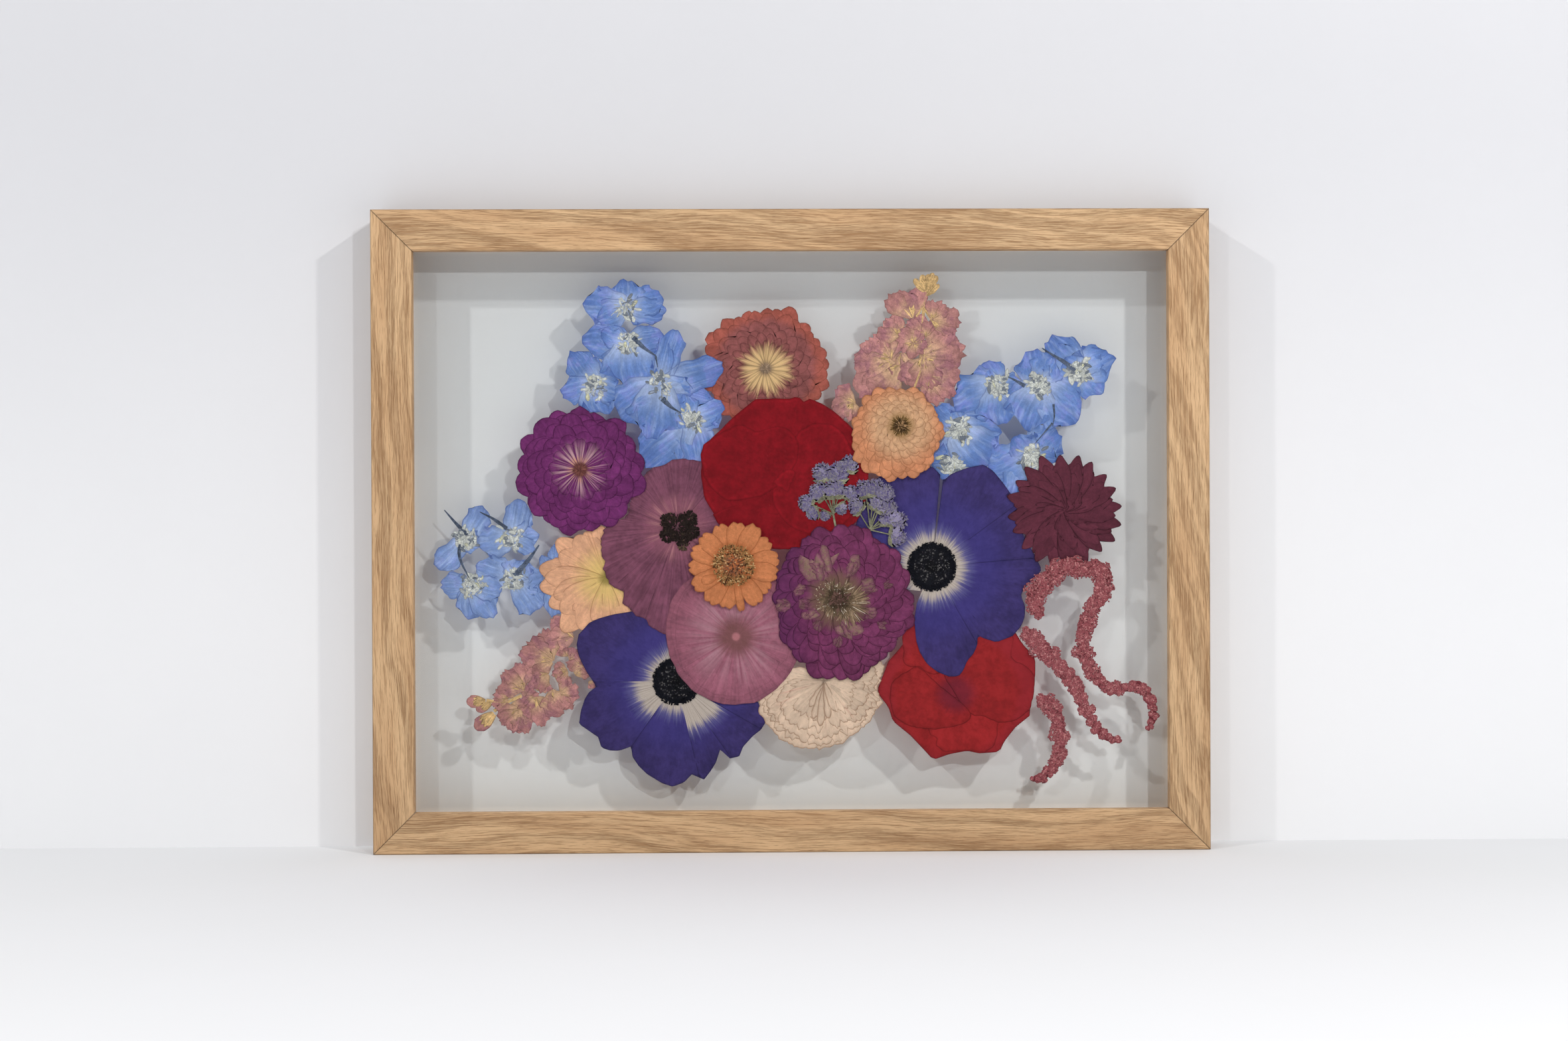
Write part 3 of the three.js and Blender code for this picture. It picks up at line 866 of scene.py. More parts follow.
def purple_zinnia():
    looks = flower_looks()
    heart = (-110.8, 32.4)
    flower = Specimen("purple_zinnia", 12)
    rings = [
        (17, 33.4, 8.0, 6),
        (16, 31.6, 7.8, 19),
        (15, 28.5, 7.4, 5),
        (14, 24.5, 6.8, 14),
        (13, 20.0, 6.0, 0),
        (13, 15.5, 4.4, 9),
    ]
    rings_of(flower, heart, rings, claw=0.2, belly=0.7, tilt=0.04, uneven=0.08, ruffle=0.15)
    flower.fuzz(heart, 90, 1.5, 4.4, 0.2, flower.depth - FRONT_ROOM, 0.06, paint=1)
    flower.thicken()
    paint = PetalPaint("purple petals", heart, looks.purple, 0.2)
    paint.mottle(0.16, 0.3)
    paint.veins(8, 0.25)
    paint.outline(0.8, 0.5)
    rays = paint.streaks(26, 0.03, 1).ramp(0.42, 0.7)
    paint.wash(looks.purple_rays, paint.near(12.5, 10, 4, 26) * rays * 0.65)
    paint.wash(display(206, 148, 118), paint.near(6.5, 4, 4) * rays)
    paint.wash(display(98, 56, 54), paint.near(4, 2.5, 3))
    core = PetalPaint("purple zinnia core", heart, display(104, 62, 56), 0.8)
    core.mottle(0.6, 0.2)
    flower.finish("purple_petals", paint.finish(0.88), core.finish(0.95))


def peach_zinnia():
    looks = flower_looks()
    heart = (57.4, 54.8)
    flower = Specimen("peach_zinnia", 13)
    rings = ((22, 24.8, 4.4), (22, 23.4, 4.3), (21, 21.0, 4.1), (19, 18.2, 3.8), (17, 15.4, 3.5))
    rings += ((15, 12.6, 3.1), (12, 9.8, 2.8), (10, 7.0, 2.3))
    for i, (count, reach, half) in enumerate(rings):
        share = i / (len(rings) - 1)
        middle = (55 + 2.4 * share, 50.8 + 4 * share)
        lift = 0.05 + (flower.depth - 0.2) * share
        flower.ring(
            middle, count, reach, half, lift, i * 8, 0.09, claw=0.3, belly=0.8, tilt=0.04, ruffle=0.14
        )
    flower.fuzz(heart, 160, 3.4, 6.4, 0.16, flower.depth - FRONT_ROOM, 0.06, paint=1)
    flower.thicken()
    flower.seeds(heart, 60, 3.4, (0.2, 0.4), flower.depth - 0.1, 0.05, paint=1, tones=(0, 0.3))
    paint = PetalPaint("peach petals", heart, looks.peach, 0.16)
    paint.wash(looks.peach_heart, paint.near(17, 12, 3) * 0.85)
    paint.mottle(0.14, 0.2)
    paint.veins(4, 0.14)
    paint.outline(0.7, 0.5, display(140, 84, 52))
    paint.wash(display(170, 132, 92), paint.near(7, 4, 4) * 0.9)
    eye = PetalPaint("peach zinnia eye", heart, display(116, 88, 52), 1.1)
    eye.wash(display(60, 44, 26), eye.near(3.8, 3, 2))
    eye.mottle(0.6, 0.2)
    flower.finish("peach_petals", paint.finish(0.88), eye.finish(0.95))


# Withered petals that lie on the magenta zinnia.
WITHERED = (
    ((2.7, -13.4), (5.7, -11.7), (7.3, -17.6), (11.5, -21), (14.9, -22.7), (19.2, -16.8), (24, -9.4),
     (26, -10.4), (22.5, -16.8), (18.5, -22), (14, -26), (8, -27), (4, -21)),
    ((31, -12.6), (35.6, -12.7), (36, -19.4), (32, -24), (28, -25), (30, -16.9)),
    ((10.5, -17.5), (13.5, -14), (17.5, -15.5), (19, -19.5), (15, -22.5), (11, -21)),
    ((-9, -39), (-5.5, -36.4), (-1, -37), (-0.6, -40.4), (-4, -42.8), (-8, -42)),
    ((3.2, -36.4), (7, -35.4), (8.4, -39), (6.5, -41.8), (3.8, -41)),
    ((0.4, -31.8), (3.9, -27.6), (7, -29), (5.4, -33.4), (1.4, -34.6)),
    ((5, -43), (12, -41.6), (16, -45), (9, -47), (4.6, -45.4)),
    ((22, -50), (37, -49), (38.5, -54), (28, -56.6), (23, -54)),
    ((22.4, -57), (26.6, -56.4), (24.6, -62.4)),
    ((44.4, -47.6), (48.5, -49), (49.5, -52.4), (45.6, -51.4)),
    ((48.2, -27.4), (53.6, -28), (52, -30.6), (48.6, -30.4)),
    ((12.4, -47.4), (15.4, -46.6), (13.4, -53), (11, -51)),
    ((36, -26), (42, -24.4), (44, -30), (38, -33)),
    ((38, -41), (44, -40), (44.4, -45.4), (38.4, -47)),
)


def withered_petals(flower, heart):
    """Shrivelled petals that lie on the others, each with folds that start at its inner end."""
    for i, outline in enumerate(WITHERED):
        flower.patch(
            outline, flower.depth - 0.24 + 0.02 * (i % 3), torn=0.5, teeth=3, wave=0.08, paint=1,
            columns=24, rows=4,
        )
    for outline in WITHERED:
        middle = centre(outline)
        long = 1.6 * sum((Vector(point) - middle).length for point in outline) / len(outline)
        away = (middle - Vector(heart)).normalized()
        for _ in range(4):
            foot = middle - away * long * flower.between(0.4, 0.6)
            foot += Vector((-away.y, away.x)) * long * flower.between(-0.3, 0.3)
            flower.leaf(
                foot, aim(away) + flower.between(-30, 30), long * flower.between(0.7, 1.1), long * 0.2,
                flower.depth - flower.between(0.16, 0.22), claw=0.5, belly=0.6, point=0.4, tilt=0.05,
                wave=0.08, ruffle=0.6, paint=1,
            )


def shaggy_eye(flower, heart):
    """Tufts of threads round the heart, longer on the right, with dark and pale grains between them."""
    for _ in range(70):
        turn = flower.between(0, math.tau)
        off = flower.between(3, 8)
        tuft = (heart[0] + off * math.cos(turn), heart[1] + off * math.sin(turn))
        angle = math.degrees(turn) + flower.between(-40, 40)
        flower.fuzz(
            tuft, 7, 1, 5, 0.2, flower.depth - flower.between(0.1, 0.18), 0.06, paint=2,
            spread=(angle - 25, angle + 25),
        )
    flower.fuzz((28, -38), 130, 5, 14, 0.2, flower.depth - 0.18, 0.05, paint=2, spread=(-110, 50))
    flower.thicken()
    flower.seeds(heart, 130, 5.4, (0.25, 0.5), flower.depth - 0.1, 0.06, paint=2, tones=(0, 0.25))
    flower.seeds((20, -35), 90, 9, (0.2, 0.45), flower.depth - 0.1, 0.06, 2, (0.85, 1), inner=0.45)


def magenta_zinnia():
    looks = flower_looks()
    heart = (24.0, -36.2)
    flower = Specimen("magenta_zinnia", 14)
    rings = [
        (19, 36.8, 7.0, 4),
        (19, 35.6, 6.8, 14),
        (18, 33.0, 6.6, 0),
        (17, 29.5, 6.2, 9),
        (17, 26.0, 5.6, 2),
        (15, 22.0, 5.0, 10),
        (13, 18.0, 4.4, 0),
    ]
    for i, (count, reach, half, turn) in enumerate(rings):
        share = i / (len(rings) - 1)
        lift = 0.04 + (flower.depth - 0.36) * share
        middle = (26.2 - 1.8 * share, -37.8 + 1.2 * share)
        flower.ring(
            middle, count, reach, half, lift, turn, 0.08, (1, 1.1), claw=0.3, belly=0.72, tilt=0.035,
            ruffle=0.12,
        )
    withered_petals(flower, heart)
    shaggy_eye(flower, heart)
    paint = PetalPaint("magenta petals", heart, looks.magenta, 0.26)
    paint.mottle(0.18, 0.3)
    paint.veins(5, 0.22)
    paint.wash(display(84, 36, 84), (0 - paint.x).ramp(8, 30) * 0.5)
    paint.wash(display(116, 92, 72), paint.near(15, 8, 7) * 0.75)
    paint.outline(0.75, 0.55)
    old = PetalPaint("withered petals", heart, looks.withered, 0.3)
    old.wash(display(128, 78, 96), old.fleck.ramp(0.2, 0.8) * 0.7)
    old.wash(looks.magenta, old.edge.ramp(2.2, 0.2) * 0.6)
    old.mottle(0.2, 0.3)
    old.shade(0.85 + old.streaks(14, 0.05).ramp(0.3, 0.7) * 0.3)
    old.outline(0.5, 0.4)
    eye = PetalPaint("magenta zinnia eye", heart, display(130, 108, 86), 1.2)
    eye.wash(display(62, 50, 36), eye.near(7, 7, 4) * 0.85)
    eye.wash(display(216, 202, 184), eye.tone.ramp(0.93, 0.98) * (0 - eye.x).ramp(-32, -20) * 0.85)
    eye.mottle(0.3, 0.2)
    flower.finish("magenta_petals", paint.finish(0.88), old.finish(0.9), eye.finish(0.95))


def orange_zinnia():
    looks = flower_looks()
    heart = (-30.6, -18.2)
    flower = Specimen("orange_zinnia", 15)
    angles = (110, 84, 60, 34, 9, -12, -35, -57, -80, -101, -124, -152, 183, 160, 137)
    for i, angle in enumerate(angles):
        half = 2.2 if angle == -80 else flower.between(4.8, 5.4)
        flower.leaf(
            heart, angle, 24.3 * flower.between(0.96, 1.02), half, 0.06 + 0.06 * (i % 3),
            belly=0.78, claw=0.3, notch=0.28, tilt=0.03, ruffle=0.15, columns=8,
        )
    flower.leaf((-40, -24), 200, 8, 2.6, 0.26, belly=0.6, claw=0.5)
    flower.fuzz(heart, 150, 10, 12.6, 0.24, flower.depth - 0.3, 0.08, paint=1)
    flower.thicken()
    flower.seeds(heart, 560, 10.8, (0.36, 0.7), flower.depth - 0.24, 0.12, paint=1)
    paint = PetalPaint("orange petals", heart, looks.orange, 0.12)
    paint.mottle(0.16, 0.18)
    paint.veins(6, 0.14)
    paint.outline(0.75, 0.55, display(132, 66, 34))
    paint.wash(display(160, 84, 42), paint.near(12.5, 4, 2) * 0.5)
    eye = PetalPaint("orange zinnia eye", heart, display(150, 110, 68), 1.2)
    eye.wash(display(126, 74, 62), eye.near(5.5, 4, 2) * 0.75)
    eye.wash(display(216, 180, 128), eye.tone.ramp(0.8, 0.95) * 0.8)
    eye.wash(display(70, 46, 28), eye.tone.ramp(0.3, 0.1) * 0.85)
    flower.finish("orange_petals", paint.finish(0.86), eye.finish(0.95))


def burgundy_chrysanthemum():
    looks = flower_looks()
    heart = (143.6, 9.8)
    flower = Specimen("burgundy_chrysanthemum", 16)
    rings = [
        (20, 30.4, 4.9, 5),
        (18, 26.5, 5.2, 14),
        (14, 21.0, 5.4, 0),
        (10, 14.0, 4.4, 9),
        (8, 8.0, 3.0, 3),
        (6, 4.4, 1.8, 12),
    ]
    rings_of(
        flower, heart, rings, claw=0.3, belly=0.6, point=0.5, tilt=0.02, uneven=0.05, step=0.03, rows=9
    )
    flower.thicken()
    paint = PetalPaint("burgundy petals", heart, looks.burgundy, 0.3)
    paint.mottle(0.16, 0.2)
    paint.veins(5, 0.2)
    paint.outline(0.75, 0.6)
    flower.finish("burgundy_petals", paint.finish(0.88))


def peach_dahlia():
    looks = flower_looks()
    heart = (-97.6, -24.8)
    flower = Specimen("peach_dahlia", 17)
    back = ((112, 27, 8), (141, 33, 7.6), (171, 35.4, 7.4), (187, 35, 7), (205, 33, 7))
    back += ((231, 36, 8), (256, 33, 9), (281, 33, 9), (305, 33, 9), (330, 33, 9), (18, 33, 9))
    front = ((98, 28, 7.4), (126, 27.5, 9.5), (151, 28, 9), (178, 32, 6.4), (199, 29, 6.6))
    front += ((216, 29.5, 8.4), (243, 30, 9), (268, 29, 8), (292, 28, 8), (70, 30, 9), (40, 30, 9))
    for petals, lift in ((back, 0.05), (front, 0.14)):
        for i, (angle, reach, half) in enumerate(petals):
            flower.leaf(
                heart, angle, reach, half, lift + 0.03 * (i % 2), belly=0.66, claw=0.14, point=0.22,
                tilt=0.03, columns=8, bend=flower.between(-0.08, 0.08),
            )
    flower.thicken()
    paint = PetalPaint("dahlia petals", heart, looks.dahlia, 0.12)
    paint.mottle(0.12, 0.16)
    paint.wash(looks.dahlia_base, paint.near(13, 16, 8) * 0.75)
    paint.veins(9, 0.2)
    lines = paint.streaks(60, 0.01, 1).ramp(0.6, 0.72) * paint.near(27, 14) * 0.35
    paint.wash(display(168, 112, 72), lines)
    paint.outline(0.7, 0.55, display(146, 88, 56))
    paint.wash(display(138, 122, 62), paint.near(3.5, 4, 2) * 0.8)
    flower.finish("dahlia_petals", paint.finish(0.86))


class FLOWER_OT_zinnias(bpy.types.Operator):
    """Press the terracotta, purple, peach, magenta and orange zinnias"""

    bl_idname = "flower_frame.zinnias"
    bl_label = "Zinnias"

    def execute(self, context):
        terracotta_zinnia()
        purple_zinnia()
        peach_zinnia()
        magenta_zinnia()
        orange_zinnia()
        return {"FINISHED"}


class FLOWER_OT_ray_flowers(bpy.types.Operator):
    """Press the burgundy chrysanthemum and the peach dahlia"""

    bl_idname = "flower_frame.ray_flowers"
    bl_label = "Chrysanthemum and dahlia"

    def execute(self, context):
        burgundy_chrysanthemum()
        peach_dahlia()
        return {"FINISHED"}


# ---- roses, anemones, poppy, ranunculus and carnation: broad petals ----


def crimson_rose():
    looks = flower_looks()
    heart = (-3.2, 31.1)
    flower = Specimen("crimson_rose", 21)
    whole = (
        (41, 34), (39, 44), (34.5, 51), (30, 55.5), (24, 61), (17.5, 66), (11.7, 68.6), (8.4, 69.6),
        (6.9, 67), (6, 69), (3, 70.4), (0, 69), (-9, 69.4), (-19, 69), (-30, 60), (-41, 49.5),
        (-46.5, 43), (-47.6, 30), (-46, 18), (-38, 4), (-28, -6), (-14, -9.5), (2, -10), (18, -7),
        (31, 1), (39, 14),
    )
    left = (
        (-47, 43), (-46.5, 31), (-44.8, 26.5), (-40.6, 20.6), (-34.7, 16.5), (-30, 15.6), (-12, 20),
        (2, 34), (3, 48), (-6, 55), (-18, 52), (-24.6, 55.4), (-29.4, 55), (-34, 53), (-41, 49),
    )
    right = (
        (4, 51.7), (7.8, 54.5), (12.6, 56.3), (19.3, 56.1), (26, 52.7), (30.4, 44.9), (34, 34), (36, 20),
        (30, 6), (16, -2), (0, 2), (-10, 16), (-6, 36),
    )
    low = (
        (-42, 8), (-33, 12.5), (-24, 13), (-12, 9), (2, 10), (18, 14), (30, 12), (37, 10), (31, 1.5),
        (18, -6.6), (2, -9.6), (-14, -9), (-28, -5.6), (-38, 3.6),
    )
    flower.patch(whole, 0.04, heart, columns=96, rows=10, torn=0.3)
    flower.patch(rounded(low), 0.09, torn=0.4)
    flower.patch(rounded(right), 0.14, torn=0.5, columns=72)
    flower.patch(rounded(left), 0.2, torn=0.5, columns=72)
    flower.patch(((-10, 25), (-6, 22.6), (-2, 19.6), (2.6, 31), (-1, 33), (-6, 30)), 0.25, torn=0.6,
                 columns=24, rows=3, tone=1)
    flower.thicken()
    paint = PetalPaint("crimson petals", heart, looks.crimson, 0.25)
    paint.mottle(0.14, 0.34)
    slanted = paint.vector(paint.x * 1.6 + paint.z * 0.8, paint.z * 0.3 - paint.x * 0.2)
    scratch = paint.noise(slanted, 1, 3, 0.6)
    paint.wash(display(176, 70, 74), scratch.ramp(0.66, 0.74) * 0.3)
    # Painted highlight: a lighter band just inside each petal's edge, where the raised edge catches the
    # light.
    paint.shade(1 + paint.edge.ramp(0.5, 1.2) * paint.edge.ramp(2.6, 1.2) * 0.16)
    paint.outline(0.5, 0.34)
    flower.finish("crimson_petals", paint.finish(0.85))


def red_rose():
    looks = flower_looks()
    heart = (86, -86)
    flower = Specimen("red_rose", 22)
    whole = (
        (60.5, -51), (58, -60.5), (50.5, -69), (44.3, -85), (50.5, -93), (52.8, -100.5), (62, -108),
        (69.5, -116), (74, -121), (82.5, -118), (92, -116.3), (98, -117.7), (109, -117),
        (111.5, -111.5), (117.5, -104), (125, -98), (125.5, -90), (128, -76.5), (128, -67),
        (121.5, -60.5), (117, -53), (100, -42), (76, -42),
    )
    lower = (
        (71.4, -104.5), (72.5, -107.8), (76, -109.3), (75.5, -113.4), (79.6, -117), (92, -116),
        (102, -117.2), (105.8, -114.1), (108, -108), (108.4, -99), (98, -88), (80, -88), (66, -96),
    )
    left = (
        (66.4, -71.8), (62.3, -73.4), (56.7, -76.4), (52.2, -80.5), (51.3, -86.1), (51.6, -91.2),
        (53, -96.9), (56.6, -100.5), (63.2, -103.4), (71.4, -104.8), (82, -104), (92, -101), (94, -96.8),
        (90, -92), (83.8, -86.8), (76.7, -81.1),
    )
    right = (
        (94.1, -96.8), (99.2, -97.7), (108.4, -101.3), (117.7, -100.3), (123.3, -96.2), (126, -92.2),
        (127.6, -77), (121.9, -71.1), (115.2, -67), (115.8, -54), (98, -50), (80, -54), (78, -70),
        (84, -84),
    )
    shoulder = ((58.6, -52), (58.6, -63.6), (58.2, -68.7), (61.8, -72), (66.4, -72), (74, -76), (84, -70),
                (84, -52), (70, -46))
    flower.patch(whole, 0.03, heart, columns=84, rows=10)
    flower.patch(lower, 0.08, torn=0.6)
    flower.patch(rounded(right), 0.13, torn=0.5, columns=72)
    flower.patch(rounded(shoulder), 0.1, torn=0.3)
    flower.patch(rounded(left), 0.19, torn=0.4, columns=72)
    flower.thicken()
    paint = PetalPaint("red petals", heart, looks.red, 0.14)
    paint.mottle(0.12, 0.3)
    rim = (paint.reach + (paint.blotch - 0.5) * 3).ramp(30, 36)
    paint.wash(display(150, 40, 50), rim * 0.5)
    paint.wash(display(94, 32, 52), paint.near(9, 9, 4) * 0.6)
    paint.outline(0.8, 0.5)
    flower.finish("red_petals", paint.finish(0.82))


def anemone_paints(name, heart, ring, wedge):
    """Paints for an anemone's petals and for its disc. The pale ring reaches further on petals whose
    tone is high."""
    looks = flower_looks()
    paint = PetalPaint(name + " petals", heart, looks.anemone, 0.0)
    paint.mottle(0.14, 0.4)
    fine = paint.streaks(70, 0.03, 3)
    paint.shade(0.8 + fine * 0.4)
    paint.wash(display(66, 60, 134), paint.near(ring + 18, 20, 8, 12) * 0.45)
    paint.outline(0.6, 0.45)
    border = paint.reach + (fine - 0.5) * 12 - paint.tone.ramp(0.6, 0.9) * wedge
    paint.wash(display(122, 120, 164), border.ramp(ring + 6, ring - 2) * 0.5)
    paint.wash(looks.anemone_ring, border.ramp(ring + 1, ring - 4.5) * 0.92)
    lines = paint.streaks(120, 0.0, 1).ramp(0.5, 0.66) * border.ramp(ring + 2, ring - 3)
    paint.shade(1 - lines * 0.4)
    disc = PetalPaint(name + " disc", heart, display(26, 26, 34), 1.0)
    disc.wash(display(118, 114, 112), disc.tone.ramp(0.6, 0.95) * disc.near(9.6, 1) * 0.8)
    disc.wash(display(12, 13, 22), disc.reach.ramp(9, 10) * 0.8)
    disc.wash(display(14, 13, 16), disc.near(3, 3) * 0.6)
    return [paint.finish(0.84), disc.finish(0.9)]


def anemone_disc(flower, heart, reach):
    """The seed head and its ring of stamens."""
    top = flower.depth
    flower.patch(
        [(heart[0] + x * reach * 0.9, heart[1] + y * reach * 0.9) for x, y in ROUND],
        top - 0.4, torn=0.6, teeth=20, paint=1, columns=48, rows=4, tone=0,
    )
    flower.fuzz(heart, 420, reach * 0.85, reach + 0.6, 0.3, top - 0.34, 0.1, paint=1, tones=(0, 0.3))
    flower.thicken()
    flower.seeds(heart, 420, reach - 0.4, (0.35, 0.65), top - 0.3, 0.1, 1, (0, 0.5), inner=0.68)
    flower.seeds(heart, 420, reach * 0.72, (0.35, 0.65), top - 0.22, 0.12, paint=1)


def anemone_right():
    heart = (73.7, -19.4)
    flower = Specimen("anemone_right", 23)
    outline = (
        (44.5, 27), (52, 31), (60, 33), (68, 34.5), (74.5, 33), (78, 29.5), (80, 26), (84, 29.5),
        (92, 32.5), (101, 34.3), (106, 31), (111, 25), (118.3, 14.6), (120, 8), (120, 1),
        (123.5, -6), (128, -13.5), (131.5, -21), (128, -26), (122, -31), (120.5, -35),
        (122.7, -40), (122.5, -46), (120.5, -51), (116, -56), (107.5, -59.2), (100.5, -57),
        (97.6, -55.4), (97.5, -60.5), (95.5, -65), (92, -69), (90, -74), (87.5, -77), (82.5, -77.2),
        (76, -74.5), (70.5, -70), (67, -64), (65.2, -58), (64.2, -47), (66, -36), (67.8, -32),
        (58, -31), (46, -32), (38, -25), (34, -14), (33, 0), (37, 14),
    )
    whole = reach_to(outline, heart)
    for start, end, lift, tone in (
        (208, 130, 0.02, 0.2), (136, 84.6, 0.05, 0.3), (82.6, 36, 0.05, 0.3), (44, 4.6, 0.09, 0.2),
        (5.4, -60, 0.05, 0.3), (-50, -113, 0.09, 0.3), (-116, -158, 0.02, 0.2),
    ):
        flower.fan(heart, start, end, whole, lift, tilt=0.03, shoulder=0, tone=tone, columns=34, rows=12)
    anemone_disc(flower, heart, 13.4)
    flower.finish("anemone_petals", *anemone_paints("right anemone", heart, 18.5, 0))


def anemone_left():
    heart = (-60.8, -78.8)
    flower = Specimen("anemone_left", 24)
    outline = (
        (-74, -39), (-80, -41), (-86, -42.4), (-94, -43.6), (-102.5, -46), (-106.5, -48),
        (-108.7, -50.5), (-112, -54), (-113.2, -60), (-111.7, -66), (-108, -73.5), (-102.7, -81.5),
        (-106.5, -84), (-109, -88), (-111, -94), (-112, -101), (-107, -104.5), (-102, -108),
        (-100.3, -113.5), (-96, -115), (-91, -115.2), (-84.8, -113), (-84, -118.5), (-81, -123),
        (-76.5, -127.5), (-68.5, -132.4), (-63, -134.2), (-57, -132), (-53, -127.8),
        (-46.5, -130.6), (-43, -126), (-40.3, -121.8), (-38, -114.8), (-33, -119.6), (-28, -118.5),
        (-26, -113.5), (-21, -108), (-16.5, -104.5), (-14, -100.5), (-18, -90), (-36, -74),
        (-44, -56), (-62, -43),
    )
    whole = reach_to(outline, heart)
    for start, end, lift, tone in (
        (100, 30, 0.02, 0.2), (184, 92, 0.09, 0.3), (240, 180, 0.05, 0.75), (285, 235, 0.09, 0.3),
        (309, 283, 0.05, 0.82), (346, 305, 0.02, 0.82), (35, -30, 0.02, 0.3),
    ):
        flower.fan(heart, start, end, whole, lift, tilt=0.03, shoulder=0, tone=tone, columns=34, rows=12)
    anemone_disc(flower, heart, 13)
    flower.finish("anemone_petals", *anemone_paints("left anemone", heart, 17, 13))


def mauve_poppy():
    looks = flower_looks()
    heart = (-59.8, 1.4)
    flower = Specimen("mauve_poppy", 25)
    outline = (
        (-46, 36), (-54, 37.8), (-61, 37.5), (-66, 35), (-70.5, 34), (-76, 31), (-79.5, 27.5),
        (-83, 21), (-85, 16), (-86, 8), (-91, 5.5), (-97, 4), (-100, -4), (-100, -10.5),
        (-97.8, -16), (-98.6, -21), (-96, -28), (-87.5, -32), (-89.5, -36.8), (-86, -41),
        (-82.6, -43.4), (-76, -47), (-73, -51), (-70, -52.5), (-66.5, -54.5), (-50, -52), (-38, -36),
        (-31, -12), (-33, 12), (-39, 28),
    )
    whole = ragged(reach_to(outline, heart), 1.5, 22, 4)
    for start, end, lift, tone in (
        (62, -40, 0.03, 0.3), (200, 50, 0.07, 0.4), (320, 222, 0.05, 0.5), (250, 158, 0.12, 0.75),
    ):
        flower.fan(heart, start, end, whole, lift, shoulder=0.02, tone=tone, wave=0.06, columns=44)
    top = 0.6
    tufts = ((-60.5, 2.5, 7.5), (-54, 6, 5), (-65, -2, 4.5), (-65, 5.5, 4.5), (-57, -3.5, 5), (-52, -0.5, 4))
    for x, y, reach in tufts:
        flower.fuzz((x, y), 90, reach * 0.7, reach + 0.6, 0.34, top - 0.28, 0.14, paint=1, tones=(0, 0.8))
    flower.fuzz((-57, -7.5), 60, 1.5, 4, 0.3, top - 0.28, 0.14, paint=1, tones=(0.8, 1))
    flower.thicken()
    for x, y, reach in tufts:
        flower.seeds((x, y), 60, reach * 0.95, (0.4, 0.8), top - 0.3, 0.14, paint=1, tones=(0, 0.9))
    paint = PetalPaint("mauve petals", heart, looks.mauve, 0.2)
    paint.mottle(0.14, 0.4)
    silk = paint.streaks(60, 0.035, 4).ramp(0.3, 0.7)
    paint.shade(0.78 + silk * 0.44)
    paint.emboss(silk * 0.2)
    paint.wash(display(170, 104, 120), paint.near(16, 14, 8) * 0.45)
    pink = paint.streaks(22, 0.02).ramp(0.5, 0.72) * paint.near(16, 8, 5) * paint.reach.ramp(7, 10)
    paint.wash(display(214, 152, 150), pink * 0.5)
    paint.outline(0.7, 0.4)
    tuft = PetalPaint("poppy tuft", heart, display(40, 30, 27), 1.0)
    tuft.wash(display(104, 86, 66), tuft.tone.ramp(0.82, 0.96) * 0.8)
    flower.finish("mauve_petals", paint.finish(0.78, Sheen_Weight=0.15), tuft.finish(0.95))


def mauve_ranunculus():
    looks = flower_looks()
    heart = (-29.5, -55.5)
    flower = Specimen("mauve_ranunculus", 26)
    rim = (
        (4.4, -50), (4, -64), (-2, -76), (-10, -84.5), (-20, -90), (-32, -91.2), (-44, -88.5),
        (-55, -81), (-62.5, -70), (-66, -56), (-65, -42), (-59, -30), (-48, -22), (-34, -18.7),
        (-18, -21), (-4, -29), (2, -38),
    )
    inner = [(heart[0] + (x - heart[0]) * 0.94 + 0.6, heart[1] + (y - heart[1]) * 0.94) for x, y in rim]
    deep = [(heart[0] + (x - heart[0]) * 0.86 - 1, heart[1] + (y - heart[1]) * 0.88) for x, y in rim]
    flower.patch(rounded(rim), 0.04, heart, torn=0.5, columns=96, rows=12, tone=0.2)
    flower.patch(rounded(inner), 0.1, heart, torn=1.6, teeth=2, columns=96, rows=12, tone=0.5)
    whole = ragged(reach_to(rounded(deep), heart), 1.8, 2.5, 3)
    for start, end, lift in ((60, -50, 0.15), (-30, -150, 0.19), (-120, -250, 0.15), (140, 40, 0.19)):
        flower.fan(heart, start, end, whole, lift, shoulder=0.04, tilt=0.02, columns=36)
    flower.thicken()
    paint = PetalPaint("ranunculus petals", heart, looks.ranunculus, 0.1)
    paint.mottle(0.14, 0.26)
    silk = paint.streaks(46, 0.02, 4).ramp(0.3, 0.7)
    paint.shade(0.87 + silk * 0.26)
    pale = paint.streaks(16, 0.02).ramp(0.3, 0.75) * paint.near(23, 18, 6) * paint.reach.ramp(6, 12)
    paint.wash(display(200, 156, 166), pale * 0.5)
    paint.outline(0.4, 0.22)
    paint.shade(1 - paint.reach.ramp(28, 35) * 0.15)
    paint.wash(display(112, 74, 66), paint.near(9.5, 10, 8) * 0.7)
    paint.wash(display(190, 122, 128), paint.near(2, 1.6, 1) * 0.9)
    flower.finish("mauve_petals", paint.finish(0.8, Sheen_Weight=0.15))


